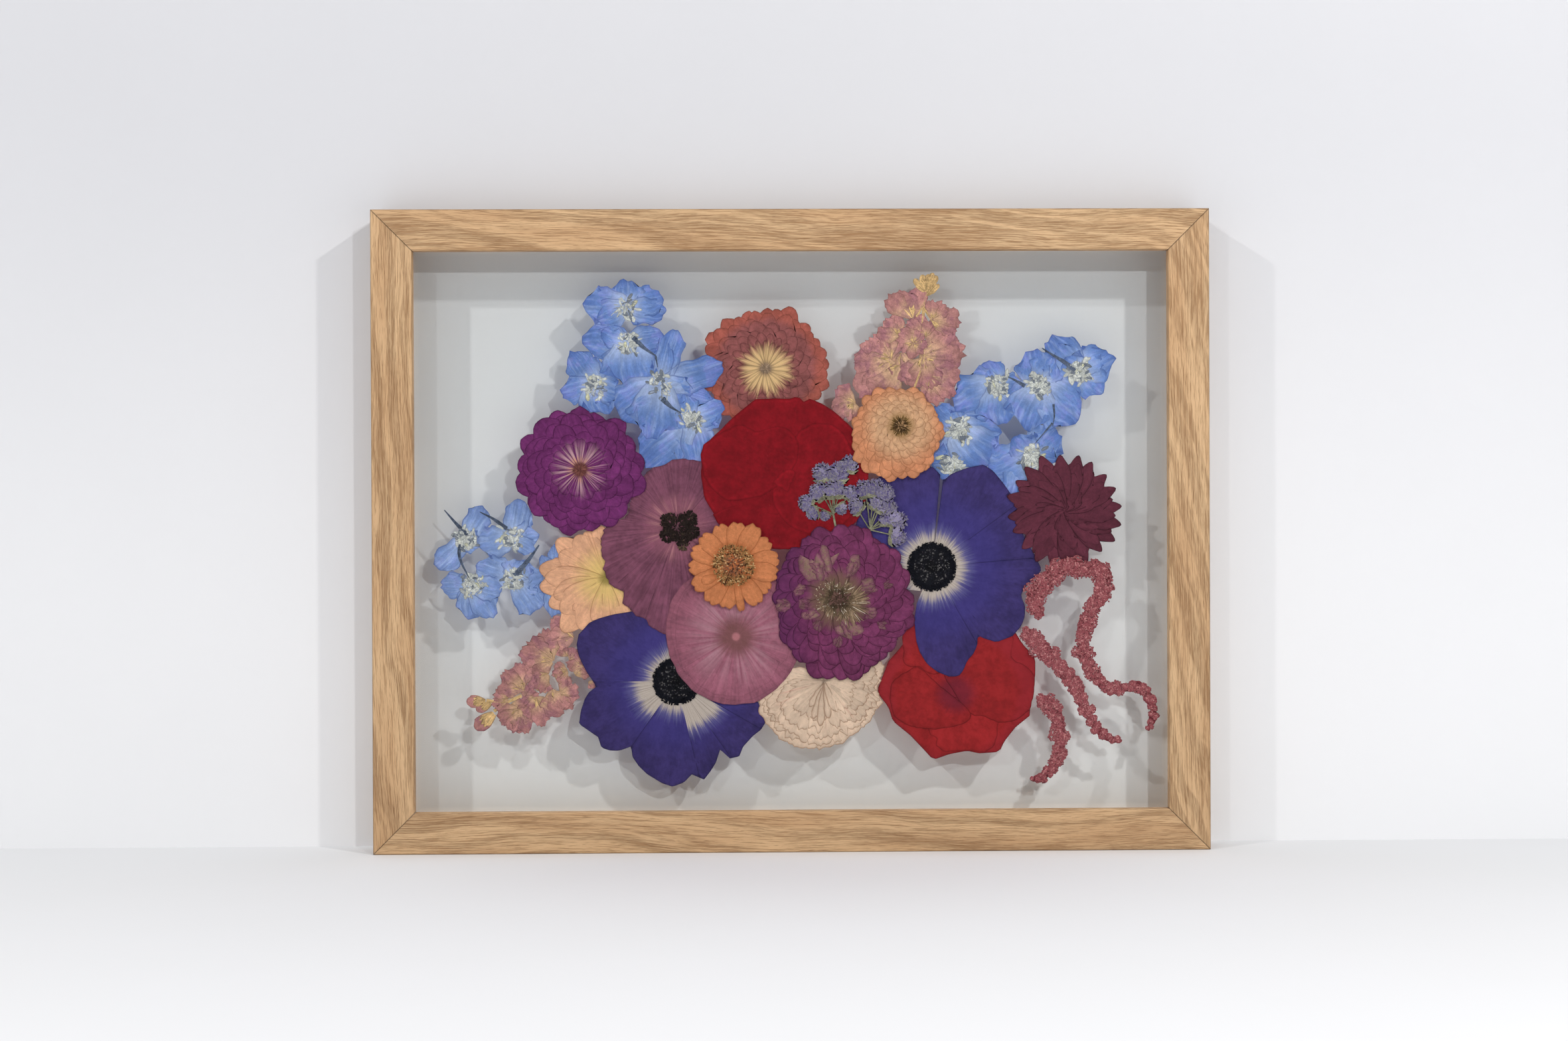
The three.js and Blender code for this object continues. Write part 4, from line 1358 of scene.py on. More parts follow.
def cream_carnation():
    looks = flower_looks()
    heart = (16.8, -79)
    flower = Specimen("cream_carnation", 27)
    outline = (
        (17.3, -72), (34, -66), (45, -68), (48.5, -71.9), (46.5, -78.6), (44.7, -85.4), (47.2, -90.5),
        (42.2, -97.1), (40.4, -101.5), (32, -107.4), (25.2, -112.4), (13.3, -114.8), (4, -114.7),
        (-6.2, -109.7), (-12.8, -102.7), (-15.3, -97.8), (-17.9, -95.3), (-17, -88.8), (-6, -72),
    )
    flower.patch(outline, 0.03, heart, torn=1.1, teeth=24, wave=0.05, columns=160, rows=8)
    whole = reach_to(outline, heart)
    # Ruffled petals in four layers, each layer a little shorter than the one it lies on.
    for layer, share in enumerate((0.97, 0.88, 0.76, 0.58)):
        for i in range(5):
            middle = -168 + 38 * i + flower.between(-8, 8) + 12 * (layer % 2)
            size = share * flower.between(0.94, 1.02)
            rim = ragged(lambda angle, s=size: whole(angle) * s, 3.2, 12, layer * 7 + i)
            flower.fan(
                heart, middle - 25, middle + 25, rim, 0.07 + 0.035 * layer + 0.01 * (i % 2), shoulder=0.2,
                wave=0.05, tilt=0.03, columns=32, sides=False,
            )
    for angle, reach, half in ((-96, 23, 2.2), (-84, 19, 2), (-108, 20, 2), (-70, 16, 2), (-122, 15, 2)):
        flower.leaf(
            (17, -80), angle, reach, half, 0.24, belly=0.7, claw=0.25, point=0.3, wave=0.08, tilt=0.05,
            ruffle=0.4,
        )
    flower.thicken()
    paint = PetalPaint("cream petals", heart, looks.cream, 0.24)
    paint.mottle(0.06, 0.14)
    pink = paint.streaks(14, 0.02).ramp(0.55, 0.75) * paint.near(26, 16) * 0.5
    paint.wash(display(214, 158, 142), pink)
    paint.outline(0.9, 0.7, display(158, 116, 88))
    # Painted light and shade along the radial folds, with a matching bump.
    folds = paint.streaks(26, 0.06, 2).ramp(0.3, 0.7)
    paint.shade(0.92 + folds * 0.16)
    paint.emboss(folds * 0.25)
    # Painted shade along the lines of fine crumples.
    bent = paint.vector(paint.x + paint.fleck * 2, paint.z - paint.fleck * 2)
    paint.shade(1 - paint.cells(bent, 0.14).ramp(0.045, 0) * 0.06)
    flower.finish("cream_petals", paint.finish(0.88))


class FLOWER_OT_roses(bpy.types.Operator):
    """Press the crimson rose, the red rose and the cream carnation"""

    bl_idname = "flower_frame.roses"
    bl_label = "Roses and carnation"

    def execute(self, context):
        crimson_rose()
        red_rose()
        cream_carnation()
        return {"FINISHED"}


class FLOWER_OT_anemones(bpy.types.Operator):
    """Press the two anemones"""

    bl_idname = "flower_frame.anemones"
    bl_label = "Anemones"

    def execute(self, context):
        anemone_right()
        anemone_left()
        return {"FINISHED"}


class FLOWER_OT_mauves(bpy.types.Operator):
    """Press the mauve poppy and the ranunculus"""

    bl_idname = "flower_frame.mauves"
    bl_label = "Poppy and ranunculus"

    def execute(self, context):
        mauve_poppy()
        mauve_ranunculus()
        return {"FINISHED"}


# ---- sprays ----

# A delphinium floret: its middle, and each petal's tip and half width.
DELPHINIUM_TOP = (
    ((-102.5, 76), ((-114.5, 93, 6), (-120, 74, 5.5), (-99, 61.5, 8.5), (-89, 72.5, 5.5))),
    ((-86, 98.5), ((-108.5, 99, 7), (-67.5, 104, 5), (-85, 77, 10.5), (-99, 105, 4.5))),
    ((-86.5, 117.5), ((-88, 131.5, 7.5), (-68.5, 123.5, 6), (-66.5, 113.5, 5), (-107.5, 120.5, 7.5),
                      (-101, 111, 6))),
    ((-52, 58.5), ((-35.5, 64, 6), (-46, 37, 6.5), (-76, 35.5, 8.5), (-57, 70.5, 4.5))),
    ((-68.5, 76), ((-61.5, 104.5, 5), (-37, 85.5, 6), (-53, 70.5, 6.5), (-90, 61, 9.5),
                   (-74, 49.5, 10.5))),
)
DELPHINIUM_RIGHT = (
    ((85, 34.5), ((75, 39, 6.5), (80, 26.5, 5.5), (101, 38, 7.5))),
    ((88, 52.5), ((75, 64, 5.5), (93.5, 61, 6), (109.5, 52.5, 8.5), (102, 34.5, 10))),
    ((126.5, 38.5), ((141, 51, 8), (139, 37.5, 4.5), (116.5, 15, 7.5), (106.5, 29.5, 9.5),
                     (118, 49, 6))),
    ((109, 75.5), ((101.5, 87.5, 6), (87, 64, 9), (111, 56.5, 9), (121, 75.5, 5.5))),
    ((151.5, 83), ((138, 101, 7), (169.5, 91, 7.5), (164, 72.5, 6), (143, 88.5, 6.5))),
    ((130.5, 76), ((126, 93.5, 7.5), (138, 89.5, 6.5), (151.5, 59.5, 10), (124, 53.5, 10))),
)
DELPHINIUM_LEFT = (
    ((-122.5, -25), ((-124, -7, 3.5), (-123.5, -44, 5))),
    ((-145.5, -25), ((-131, -21.5, 6), (-133.5, -41, 6), (-165, -17.5, 6), (-143, -15, 6))),
    ((-167.5, -28), ((-183.5, -28.5, 5), (-168.5, -45, 6), (-156.5, -44, 5.5), (-153, -31.5, 5))),
    ((-171, -4), ((-160.5, 11.5, 5), (-185, -19, 5), (-163.5, -6.5, 5))),
    ((-146.5, -3.5), ((-142, 16.5, 5), (-133, -1, 5.5), (-163.5, -7.5, 6), (-135.5, -10, 3.5))),
)
# Each spur or stalk: its route from thick to thin, and half its width at the start.
SPURS_TOP = (
    (((-83, 101.5), (-77, 96), (-71, 92)), 2.0),
    (((-71, 92), (-70, 86)), 0.8),
    (((-67.5, 69.5), (-63, 65), (-58, 62)), 3.0),
)
SPURS_RIGHT = (
    (((149.5, 83.5), (144, 88), (139, 91), (132, 95.5)), 1.7),
    (((123, 75.5), (118, 78.5), (114, 80.5)), 1.3),
    (((138, 66), (138.5, 60), (137.5, 54)), 0.8),
    (((137.5, 56), (128, 45)), 0.7),
)
SPURS_LEFT = (
    (((-170, -1.5), (-175.5, 4), (-182, 11.5)), 1.5),
    (((-174, -6.5), (-174, -14), (-168.5, -25.5)), 1.3),
    (((-149.5, 1.5), (-156, 6.5), (-163.5, 10.5)), 1.5),
    (((-145.5, -23), (-139, -16), (-132.5, -7)), 2.2),
)


def blue_petals(flower, middle, petals, base):
    """The petals of one delphinium floret, each with a shorter one half under it."""
    for i, (x, y, half) in enumerate(petals):
        way = Vector((x, y)) - Vector(middle)
        angle = aim(way)
        flower.leaf(
            middle, angle, way.length * 1.04, half * 1.42, base + 0.025 * i,
            belly=flower.between(0.56, 0.66), claw=0.5, point=flower.between(0.0, 0.3),
            bend=flower.between(-0.2, 0.2), tilt=0.02, wave=0.06, ruffle=0.25, columns=8, rows=10,
        )
        flower.leaf(
            middle, angle + flower.between(-42, 42), way.length * flower.between(0.7, 0.88),
            half * 1.05, base - 0.01, belly=0.6, claw=0.5, point=0.3, wave=0.05, ruffle=0.3,
        )


def pale_tuft(flower, middle, base, room):
    """The small crumpled petals and threads in the middle of a delphinium floret."""
    bee = [(middle[0] + x * 5, middle[1] + y * 5.6) for x, y in ROUND]
    flower.patch(
        bee, base + room * 0.26, torn=2, teeth=3, wave=0.1, paint=1, columns=30, rows=4, tone=0.6
    )
    for _ in range(42):
        at = (middle[0] + flower.between(-5.2, 5.2), middle[1] + flower.between(-5.2, 5.2))
        flower.leaf(
            at, flower.between(0, 360), flower.between(2, 5), flower.between(0.5, 1.2),
            base + room * 0.3 + flower.between(0, 0.12), claw=0.5, belly=0.5, point=0.2,
            bend=flower.between(-1.2, 1.2), wave=0.08, paint=1, columns=3, rows=5,
        )
    flower.fuzz(middle, 36, 4, 7, 0.16, base + room * 0.36, 0.08, paint=1)


def delphinium(node, florets, spurs, seed, pale=0.0):
    """A spray of blue florets with tufts and dark spurs. Pale is how far its blue has faded."""
    flower = Specimen(node, seed)
    room = flower.depth - FRONT_ROOM
    for i, (middle, petals) in enumerate(florets):
        base = 0.04 + room * 0.5 * i / len(florets)
        blue_petals(flower, middle, petals, base)
        pale_tuft(flower, middle, base, room)
    for route, half in spurs:
        flower.ribbon(route, lambda v, h=half: h * 0.85 * (1 - 0.8 * v), room * 0.75, paint=2)
    flower.thicken()
    flower.finish("blue_petals", *delphinium_paints(node, pale))


def delphinium_paints(node, pale):
    """Paints for a delphinium's petals, its tufts and its spurs."""
    looks = flower_looks()
    petals = PetalPaint(node + " petals", (0, 0), looks.blue, 0.2)
    petals.wash(display(76, 102, 176), petals.along.ramp(0.5, 1.0) * 0.5)
    petals.wash(display(124, 124, 190), petals.blotch.ramp(0.5, 0.9) * 0.4)
    petals.wash(display(180, 194, 222), petals.along.ramp(0.6, 0.1) * 0.65)
    petals.wash(display(164, 184, 222), petals.lines(9, 0.6).ramp(0.45, 0.7) * 0.4 + pale)
    petals.mottle(0.12, 0.24)
    petals.veins(12, 0.26)
    petals.outline(1, 0.55, display(58, 80, 148))
    tuft = PetalPaint(node + " tuft", (0, 0), looks.bee, 0.3)
    tuft.wash(display(92, 102, 122), tuft.tone.ramp(0.34, 0.2) * 0.8)
    tuft.wash(display(206, 200, 140), tuft.tone.ramp(0.92, 0.97) * 0.6)
    tuft.mottle(0.3, 0.2)
    tuft.veins(4, 0.3)
    tuft.outline(0.5, 0.5, display(92, 100, 114))
    spur = PetalPaint(node + " spur", (0, 0), looks.spur, 0.2)
    spur.mottle(0.6, 0.5)
    spur.veins(5, 0.5)
    return petals.finish(0.76, Sheen_Weight=0.1), tuft.finish(0.8), spur.finish(0.85)


# A stock floret: where its petals grow from, where they reach to, and how far they spread.
STOCK_UPPER = (
    (33.5, 66.5, 19.5, 67.5, 90), (33.5, 66.5, 30, 57, 70), (57, 85.5, 33.5, 73, 70),
    (52, 87.5, 32, 83.5, 80), (58.5, 93, 56.5, 77, 70), (52, 89.5, 36.5, 101, 100),
    (52, 89.5, 47, 102.5, 80), (74, 79.5, 77.5, 63.5, 80), (74, 81.5, 86.5, 70, 90),
    (70, 91, 65.5, 73, 60), (68.5, 93, 88.5, 84.5, 80), (69, 93, 90.5, 98, 70),
    (57, 101.5, 47.5, 111, 90), (68.5, 100.5, 60.5, 111, 80), (69.5, 101.5, 76, 108.5, 60),
    (74, 111, 88.5, 103.5, 80), (74, 111, 79.5, 121, 70), (63, 111.5, 58, 128.5, 80),
    (64, 98, 60, 107, 90), (64.5, 99, 71, 103, 90), (64, 98, 57, 93, 100), (65, 98, 70, 92, 90),
)
STOCK_LOWER = (
    (-134, -83, -129, -76, 100), (-121, -85, -114, -79, 100), (-141, -87, -135, -81, 90),
    (-129, -89, -122, -93, 100), (-114, -75, -107, -70, 100), (-117, -67, -110, -63, 100),
    (-123, -79, -118, -73, 100), (-147, -90, -141, -95, 90), (-115, -56, -130.5, -55, 90),
    (-114.5, -52, -119, -49, 60), (-110, -71, -116.5, -63.5, 90),
    (-118, -73, -126.5, -76.5, 100), (-118, -65.5, -120, -60.5, 80), (-106.5, -78.5, -103.5, -82.5, 60),
    (-121.5, -84.5, -111.5, -89.5, 90), (-128, -75, -140, -79.5, 70), (-126, -68, -139, -55.5, 80),
    (-126, -68.5, -140.5, -71, 80), (-133.5, -87, -131.5, -103, 100), (-135.5, -87, -141, -92, 60),
    (-125.5, -83, -123, -96, 60), (-141.5, -82, -146.5, -68, 60), (-141.5, -83.5, -153, -73, 90),
    (-149, -88, -158, -86, 80), (-145.5, -94, -149, -105, 60), (-142.5, -95.5, -142.5, -108, 60),
    (-142.5, -93.5, -154, -101.5, 70),
)
# A stock bud: its foot, its tip and its half width.
BUDS_UPPER = (
    (70.5, 126, 69, 134.2, 1.9), (70.5, 126, 72.6, 134.4, 1.9), (71, 125, 77, 133.5, 2),
    (70, 125, 64.8, 132, 1.7), (70.5, 126, 75, 135, 1.6), (71, 123, 78, 129, 1.5),
)
BUDS_LOWER = (
    (-161, -89, -171, -89, 3.4), (-156.5, -95.5, -166.5, -103.5, 4.2), (-158, -90, -166, -93.5, 2.6),
)
STEMS_UPPER = (
    ((72, 131), (70.5, 121.5), (69, 108.5)),
    ((68, 100.5), (70, 91), (64.5, 74)),
    ((70, 120), (66, 112)),
    ((70.5, 116), (74, 111)),
)
STEMS_LOWER = (
    ((-160.5, -88.5), (-151, -89.5), (-142, -86)),
    ((-156.5, -94), (-150, -90)),
)


def stock(node, florets, buds, stems, seed, bud_paint):
    """A spray of crumpled pink florets on a straw-coloured stem. Its buds are pink with bud_paint 0 and
    straw-coloured with 1."""
    flower = Specimen(node, seed)
    room = flower.depth - 0.14
    for route in stems:
        flower.ribbon(route, lambda v: 0.9, 0.04, paint=1)
    for i, (x, y, to_x, to_y, spread) in enumerate(florets):
        way = Vector((to_x - x, to_y - y))
        middle = aim(way)
        base = 0.05 + room * 0.75 * i / len(florets)
        for k in range(3):
            angle = middle + spread * (k - 1) * 0.42 + flower.between(-6, 6)
            flower.leaf(
                (x, y), angle, way.length * flower.between(0.84, 1.0), way.length * 0.32,
                base + 0.03 * k, belly=0.75, claw=0.18, notch=flower.between(0, 0.25), tilt=0.03,
                wave=0.09, bend=flower.between(-0.2, 0.2), ruffle=0.5, columns=8, rows=8,
            )
        for k in range(4):
            angle = middle + (k - 1.5) * spread * 0.25
            flower.leaf(
                (x, y), angle, way.length * flower.between(0.3, 0.5), way.length * 0.07,
                base + room * 0.2, belly=0.5, claw=0.5, point=0.8, paint=1, columns=2, rows=4,
            )
    for x, y, to_x, to_y, half in buds:
        way = Vector((to_x - x, to_y - y))
        middle = aim(way)
        flower.leaf(
            (x, y), middle, way.length, half, room * 0.8, belly=0.6, claw=0.4, paint=bud_paint, columns=4
        )
        for k in range(3):
            flower.leaf(
                (x, y), middle + (k - 1) * 14, way.length * 0.72, half * 0.5, room * 0.9 + k * 0.02,
                belly=0.55, claw=0.6, point=0.8, paint=1, columns=3, rows=5,
            )
    flower.thicken()
    flower.finish("pink_petals", *stock_paints(node))


def stock_paints(node):
    """Paints for a stock's petals and for its calyces and stems."""
    looks = flower_looks()
    petals = PetalPaint(node + " petals", (0, 0), looks.stock, 0.35)
    petals.wash(display(218, 180, 140), petals.along.ramp(0.7, 0.15) * 0.8)
    petals.wash(display(136, 88, 104), petals.blotch.ramp(0.4, 0.9) * 0.6)
    petals.mottle(0.2, 0.26)
    petals.veins(6, 0.3)
    petals.creases(0.24, 0.14)
    petals.outline(0.7, 0.36)
    straw = PetalPaint(node + " calyx", (0, 0), looks.calyx, 0.35)
    straw.mottle(0.4, 0.4)
    straw.veins(5, 0.5)
    straw.outline(0.25, 0.4)
    return petals.finish(0.85), straw.finish(0.85)


# An ageratum head: its place, its radius, and the direction its threads point to.
AGERATUM_LEFT = (
    (30.1, 34.5, 4.2, 75), (24, 29.8, 4.8, 85), (16.4, 30.2, 4.6, 110), (22.6, 21.5, 4.8, 95),
    (14.6, 20.5, 4.4, 135), (7.7, 14.6, 3.8, 160), (11.2, 9.2, 3.2, 200), (31, 19.2, 3.8, 60),
    (17.5, 7.8, 2.4, 240), (26, 11.5, 2.8, 300),
)
AGERATUM_RIGHT = (
    (38.6, 21.5, 4.4, 110), (43.8, 21.5, 4.6, 80), (49, 19, 4.4, 45), (34, 12.4, 3.7, 140),
    (45.5, 13.6, 4, 60), (51.2, 11.4, 3.8, 40), (55.6, 4.8, 4.4, 15), (49.8, 5.4, 3.4, 90),
    (55.4, -3.4, 4.2, -5),
)


def ageratum(node, heads, meet, foot, seed):
    """A sprig of fluffy heads on thin stalks."""
    looks = flower_looks()
    flower = Specimen(node, seed)
    top = flower.depth - FRONT_ROOM
    flower.ribbon((meet, foot), lambda v: 0.55, 0.03, paint=1)
    for x, y, size, turn in heads:
        reach = size * 1.18
        faces = facing(turn)
        shift = faces * reach * 0.14
        bend = Vector((x, y)).lerp(Vector(meet), 0.5) + Vector((flower.between(-0.6, 0.6), 0))
        flower.ribbon(((x, y), bend, meet), lambda v: 0.34, 0.03, paint=1, rows=5)
        for k in range(7):
            angle = turn + (k - 3) * 24
            back = (x - faces.x * reach * 0.75, y - faces.y * reach * 0.75)
            flower.leaf(
                back, angle, reach * 1.25, reach * 0.4, 0.12 + 0.02 * (k % 2), claw=0.5, belly=0.6,
                point=0.6, paint=1, columns=2, rows=4,
            )
            flower.leaf(
                (x - shift.x * 2, y - shift.y * 2), angle, reach * 1.2, reach * 0.5,
                0.16 + 0.009 * k + flower.between(0, 0.008), claw=0.5, belly=0.7, point=0.4, tilt=0,
                wave=0, ruffle=0.3, columns=3, rows=6,
            )
        for _ in range(190):
            angle = turn + flower.between(-80, 80)
            start = reach * 0.82 * math.sqrt(flower.random.random())
            spot = math.radians(flower.between(0, 360))
            at = (x + start * math.cos(spot) + shift.x, y + start * math.sin(spot) + shift.y)
            flower.leaf(
                at, angle, reach * flower.between(0.18, 0.34), 0.21, top - flower.between(0, 0.1),
                claw=0.8, belly=0.4, point=0.8, tilt=0, wave=0, bend=flower.between(-2, 2), columns=1,
                rows=3,
            )
    flower.thicken()
    threads = PetalPaint(node + " threads", (0, 0), looks.lilac, 0.9)
    threads.wash(display(164, 154, 186), threads.tone.ramp(0.7, 0.95) * 0.5)
    threads.wash(display(88, 74, 128), threads.tone.ramp(0.35, 0.05) * 0.7)
    threads.wash(display(150, 145, 136), threads.noise(threads.where, 1.2, 3, 0.7).ramp(0.44, 0.6) * 0.6)
    threads.wash(display(66, 58, 84), threads.noise(threads.where, 0.95, 3, 0.7).ramp(0.46, 0.34) * 0.6)
    stalks = PetalPaint(node + " stalks", (0, 0), looks.sage, 0.5)
    stalks.mottle(0.6, 0.4)
    stalks.outline(0.2, 0.4)
    flower.finish("lilac_tufts", threads.finish(0.9), stalks.finish(0.9))


AMARANTH_UPPER = (
    (131, -46), (127, -36.5), (134, -27), (144, -19), (153, -21), (162, -21), (164.5, -31),
    (158.5, -41), (153.5, -52), (153.5, -65), (158.5, -76.5), (166, -83), (175, -83.5),
    (182.5, -82.5), (188.5, -90), (190, -98), (187, -106),
)
AMARANTH_MIDDLE = (
    (122, -53), (132.7, -64), (142.8, -75), (150, -84.5), (154, -94), (159.2, -103),
    (165.6, -109.5), (173.5, -111.5),
)
AMARANTH_LOWER = (
    (129.5, -90), (134.8, -91.5), (139, -98), (140.8, -108.5), (140, -119), (135, -128), (126, -132),
)


def amaranth(node, route, start, end, count, seed):
    """A tassel: a flat stalk covered all over in small knobbly seeds."""
    looks = flower_looks()
    flower = Specimen(node, seed)

    def half(share, side=0):
        """Half the tassel's width, with lumps that differ from side to side and with rounded ends."""
        lumps = 1 + 0.55 * noise.noise(Vector((share * len(route) * 1.8, seed + side, 0)))
        ends = min(1, 0.45 + 14 * share, 0.45 + 14 * (1 - share))
        return (start + (end - start) * share**1.8) / 2 * lumps * ends

    flower.ribbon(route, lambda v: half(v) * 0.6, 0.1, paint=1, rows=len(route) * 4)
    flower.thicken()
    knobs = []
    total = round(len(route) * 4.5)
    for i in range(total):
        share = (i + flower.random.random()) / total
        at, way = along(route, share)
        side = 1 if i % 2 else -1
        off = side * flower.between(0.1, 0.56) * half(share, 5 if side > 0 else 0)
        knobs.append((at.x + way.y * off, at.y - way.x * off, half(share) * 0.52))
    room = flower.depth / 2 - 0.24
    for i in range(count):
        x, y, reach = knobs[i % total]
        turn = flower.between(0, math.tau)
        out = flower.random.random() ** 0.62
        rise = math.sqrt(1 - 0.9 * out * out)
        flower.seed(
            x + reach * out * math.cos(turn),
            y + reach * out * math.sin(turn),
            flower.depth / 2 + flower.between(0.1, 1) * rise * room,
            flower.between(0.42, 0.74),
            # Each seed's tone is partly random and partly painted shade: seeds towards a knob's rim are
            # darker, those on its top lighter.
            tone=flower.between(0.4, 1) * (1 - 0.6 * out * out),
            squash=0.5,
        )
    paint = PetalPaint(node + " seeds", (0, 0), looks.amaranth, 0.5)
    paint.wash(display(224, 172, 166), paint.noise(paint.where, 1.3, 2, 0.6).ramp(0.54, 0.7) * 0.6)
    paint.wash(display(86, 42, 48), paint.noise(paint.where, 1.05, 2, 0.6).ramp(0.47, 0.33) * 0.7)
    # Painted highlight on the tops of the knobs and painted shade at their rims, carried by the tone, which
    # also varies at random.
    paint.wash(display(226, 162, 160), paint.tone.ramp(0.72, 0.95) * 0.7)
    paint.wash(display(104, 42, 50), paint.tone.ramp(0.26, 0.04) * 0.6)
    paint.wash(display(122, 54, 60), paint.noise(paint.where, 0.35, 2, 0.6).ramp(0.52, 0.7) * 0.35)
    stalk = PetalPaint(node + " stalk", (0, 0), display(136, 62, 70), 0.2)
    stalk.mottle(0.7, 0.4)
    flower.finish("amaranth_seed", paint.finish(0.88), stalk.finish(0.9))


class FLOWER_OT_delphiniums(bpy.types.Operator):
    """Press the three delphinium sprays"""

    bl_idname = "flower_frame.delphiniums"
    bl_label = "Delphiniums"

    def execute(self, context):
        delphinium("delphinium_top", DELPHINIUM_TOP, SPURS_TOP, 31)
        delphinium("delphinium_right", DELPHINIUM_RIGHT, SPURS_RIGHT, 32)
        delphinium("delphinium_left", DELPHINIUM_LEFT, SPURS_LEFT, 33, 0.3)
        return {"FINISHED"}


class FLOWER_OT_stocks(bpy.types.Operator):
    """Press the two sprays of stock"""

    bl_idname = "flower_frame.stocks"
    bl_label = "Stocks"

    def execute(self, context):
        stock("stock_upper", STOCK_UPPER, BUDS_UPPER, STEMS_UPPER, 34, 1)
        stock("stock_lower", STOCK_LOWER, BUDS_LOWER, STEMS_LOWER, 35, 0)
        return {"FINISHED"}


class FLOWER_OT_sprigs(bpy.types.Operator):
    """Press the two ageratum sprigs and the three amaranth tassels"""

    bl_idname = "flower_frame.sprigs"
    bl_label = "Ageratums and amaranths"

    def execute(self, context):
        ageratum("ageratum_left", AGERATUM_LEFT, (21.8, 8.6), (23.6, -1), 36)
        ageratum("ageratum_right", AGERATUM_RIGHT, (41.2, 0.2), (40.4, -5), 37)
        amaranth("amaranth_upper", AMARANTH_UPPER, 14.2, 5.6, 9000, 38)
        amaranth("amaranth_middle", AMARANTH_MIDDLE, 12.4, 4.8, 4800, 39)
        amaranth("amaranth_lower", AMARANTH_LOWER, 11.8, 5.4, 3300, 40)
        return {"FINISHED"}


# ---- the stage ----

STAGE_SIZE = 12
LAMP_RADIUS = 0.022
WARM = (1, 0.985, 0.97)
COOL = (0.97, 0.985, 1)
# Each lamp: its name, its place in millimetres, its watts and its colour.
LAMPS = (
    ("lamp high left", (-958, -849, 1079), 18.5, WARM),
    ("lamp high right", (677, -798, 933), 17.5, WARM),
    ("lamp low left", (-643, -1521, 744), 8.5, COOL),
    ("lamp low right", (520, -1521, 744), 19, COOL),
)
# How far up the wall its painted light fades, in millimetres: the wall is painted lighter near the table.
WALL_FADE = 430
CAMERA_PLACE = (-23.26, -1147.25, 179.31)
# The camera's turns, in degrees. The last one, done first, raises it from the floor to the horizon.
CAMERA_TURNS = ((-0.9639, "Z"), (-0.3234, "X"), (0.2248, "Y"), (90, "X"))


def stage_plane(name, place, paint):
    """A large flat square."""
    mesh = bmesh.new()
    bmesh.ops.create_grid(mesh, x_segments=1, y_segments=1, size=STAGE_SIZE / 2, matrix=place)
    data = bpy.data.meshes.new(name)
    mesh.to_mesh(data)
    mesh.free()
    data.materials.append(paint)
    made = bpy.data.objects.new(name, data)
    bpy.context.scene.collection.objects.link(made)


def table_paint():
    """Matt white, left out of what the panes mirror."""
    paint = Paint("white table")
    cloud = paint.noise(paint.where, 0.01, 3, 0.5)
    paint.colour = paint.mix(cloud, frame_looks().table, display(242, 242, 243))
    solid = paint.node("ShaderNodeBsdfDiffuse", {}, {"Color": paint.colour})
    clear = paint.node("ShaderNodeBsdfTransparent", {}, {})
    mirrored = paint.node("ShaderNodeLightPath", {}, {}, "Glossy Depth").maths("MINIMUM", 1)
    both = paint.node("ShaderNodeMixShader", {}, {0: mirrored, 1: solid, 2: clear})
    paint.node("ShaderNodeOutputMaterial", {}, {"Surface": both})
    return paint.material


def wall_paint():
    """Matt white, painted lighter towards the table to stand in for brighter light there. It is solid only
    from its front, so that the frame's back can be seen and lit."""
    paint = Paint("white wall")
    height = paint.z + HEIGHT / MM / 2
    # Painted light: the wall's colour is lighter near the table and darker higher up.
    paint.colour = paint.mix(height.ramp(0, WALL_FADE), frame_looks().wall, display(218, 218, 221))
    cloud = paint.noise(paint.where, 0.006, 3, 0.6)
    paint.shade(0.98 + cloud * 0.04)
    solid = paint.node("ShaderNodeBsdfDiffuse", {}, {"Color": paint.colour})
    clear = paint.node("ShaderNodeBsdfTransparent", {}, {})
    camera = paint.node("ShaderNodeLightPath", {}, {}, "Is Camera Ray")
    glass = paint.node("ShaderNodeLightPath", {}, {}, "Is Transmission Ray")
    behind = paint.node("ShaderNodeNewGeometry", {}, {}, "Backfacing")
    seen = camera.maths("MAXIMUM", glass) * (1 - behind)
    both = paint.node("ShaderNodeMixShader", {}, {0: seen, 1: clear, 2: solid})
    paint.node("ShaderNodeOutputMaterial", {}, {"Surface": both})
    return paint.material


def lamp(name, place, watts, colour):
    """A small round lamp, given in millimetres."""
    data = bpy.data.lights.new(name, "POINT")
    data.energy = watts
    data.shadow_soft_size = LAMP_RADIUS
    data.color = colour
    made = bpy.data.objects.new(name, data)
    made.location = Vector(place) * MM
    bpy.context.scene.collection.objects.link(made)


def camera():
    """A 50 mm lens in front of the frame."""
    data = bpy.data.cameras.new("camera")
    data.lens = 50
    data.sensor_width = 36
    data.sensor_fit = "HORIZONTAL"
    made = bpy.data.objects.new("camera", data)
    turn = Matrix.Identity(4)
    for degrees, axis in CAMERA_TURNS:
        turn = turn @ Matrix.Rotation(math.radians(degrees), 4, axis)
    made.matrix_world = Matrix.Translation(Vector(CAMERA_PLACE) * MM) @ turn
    bpy.context.scene.collection.objects.link(made)
    return made


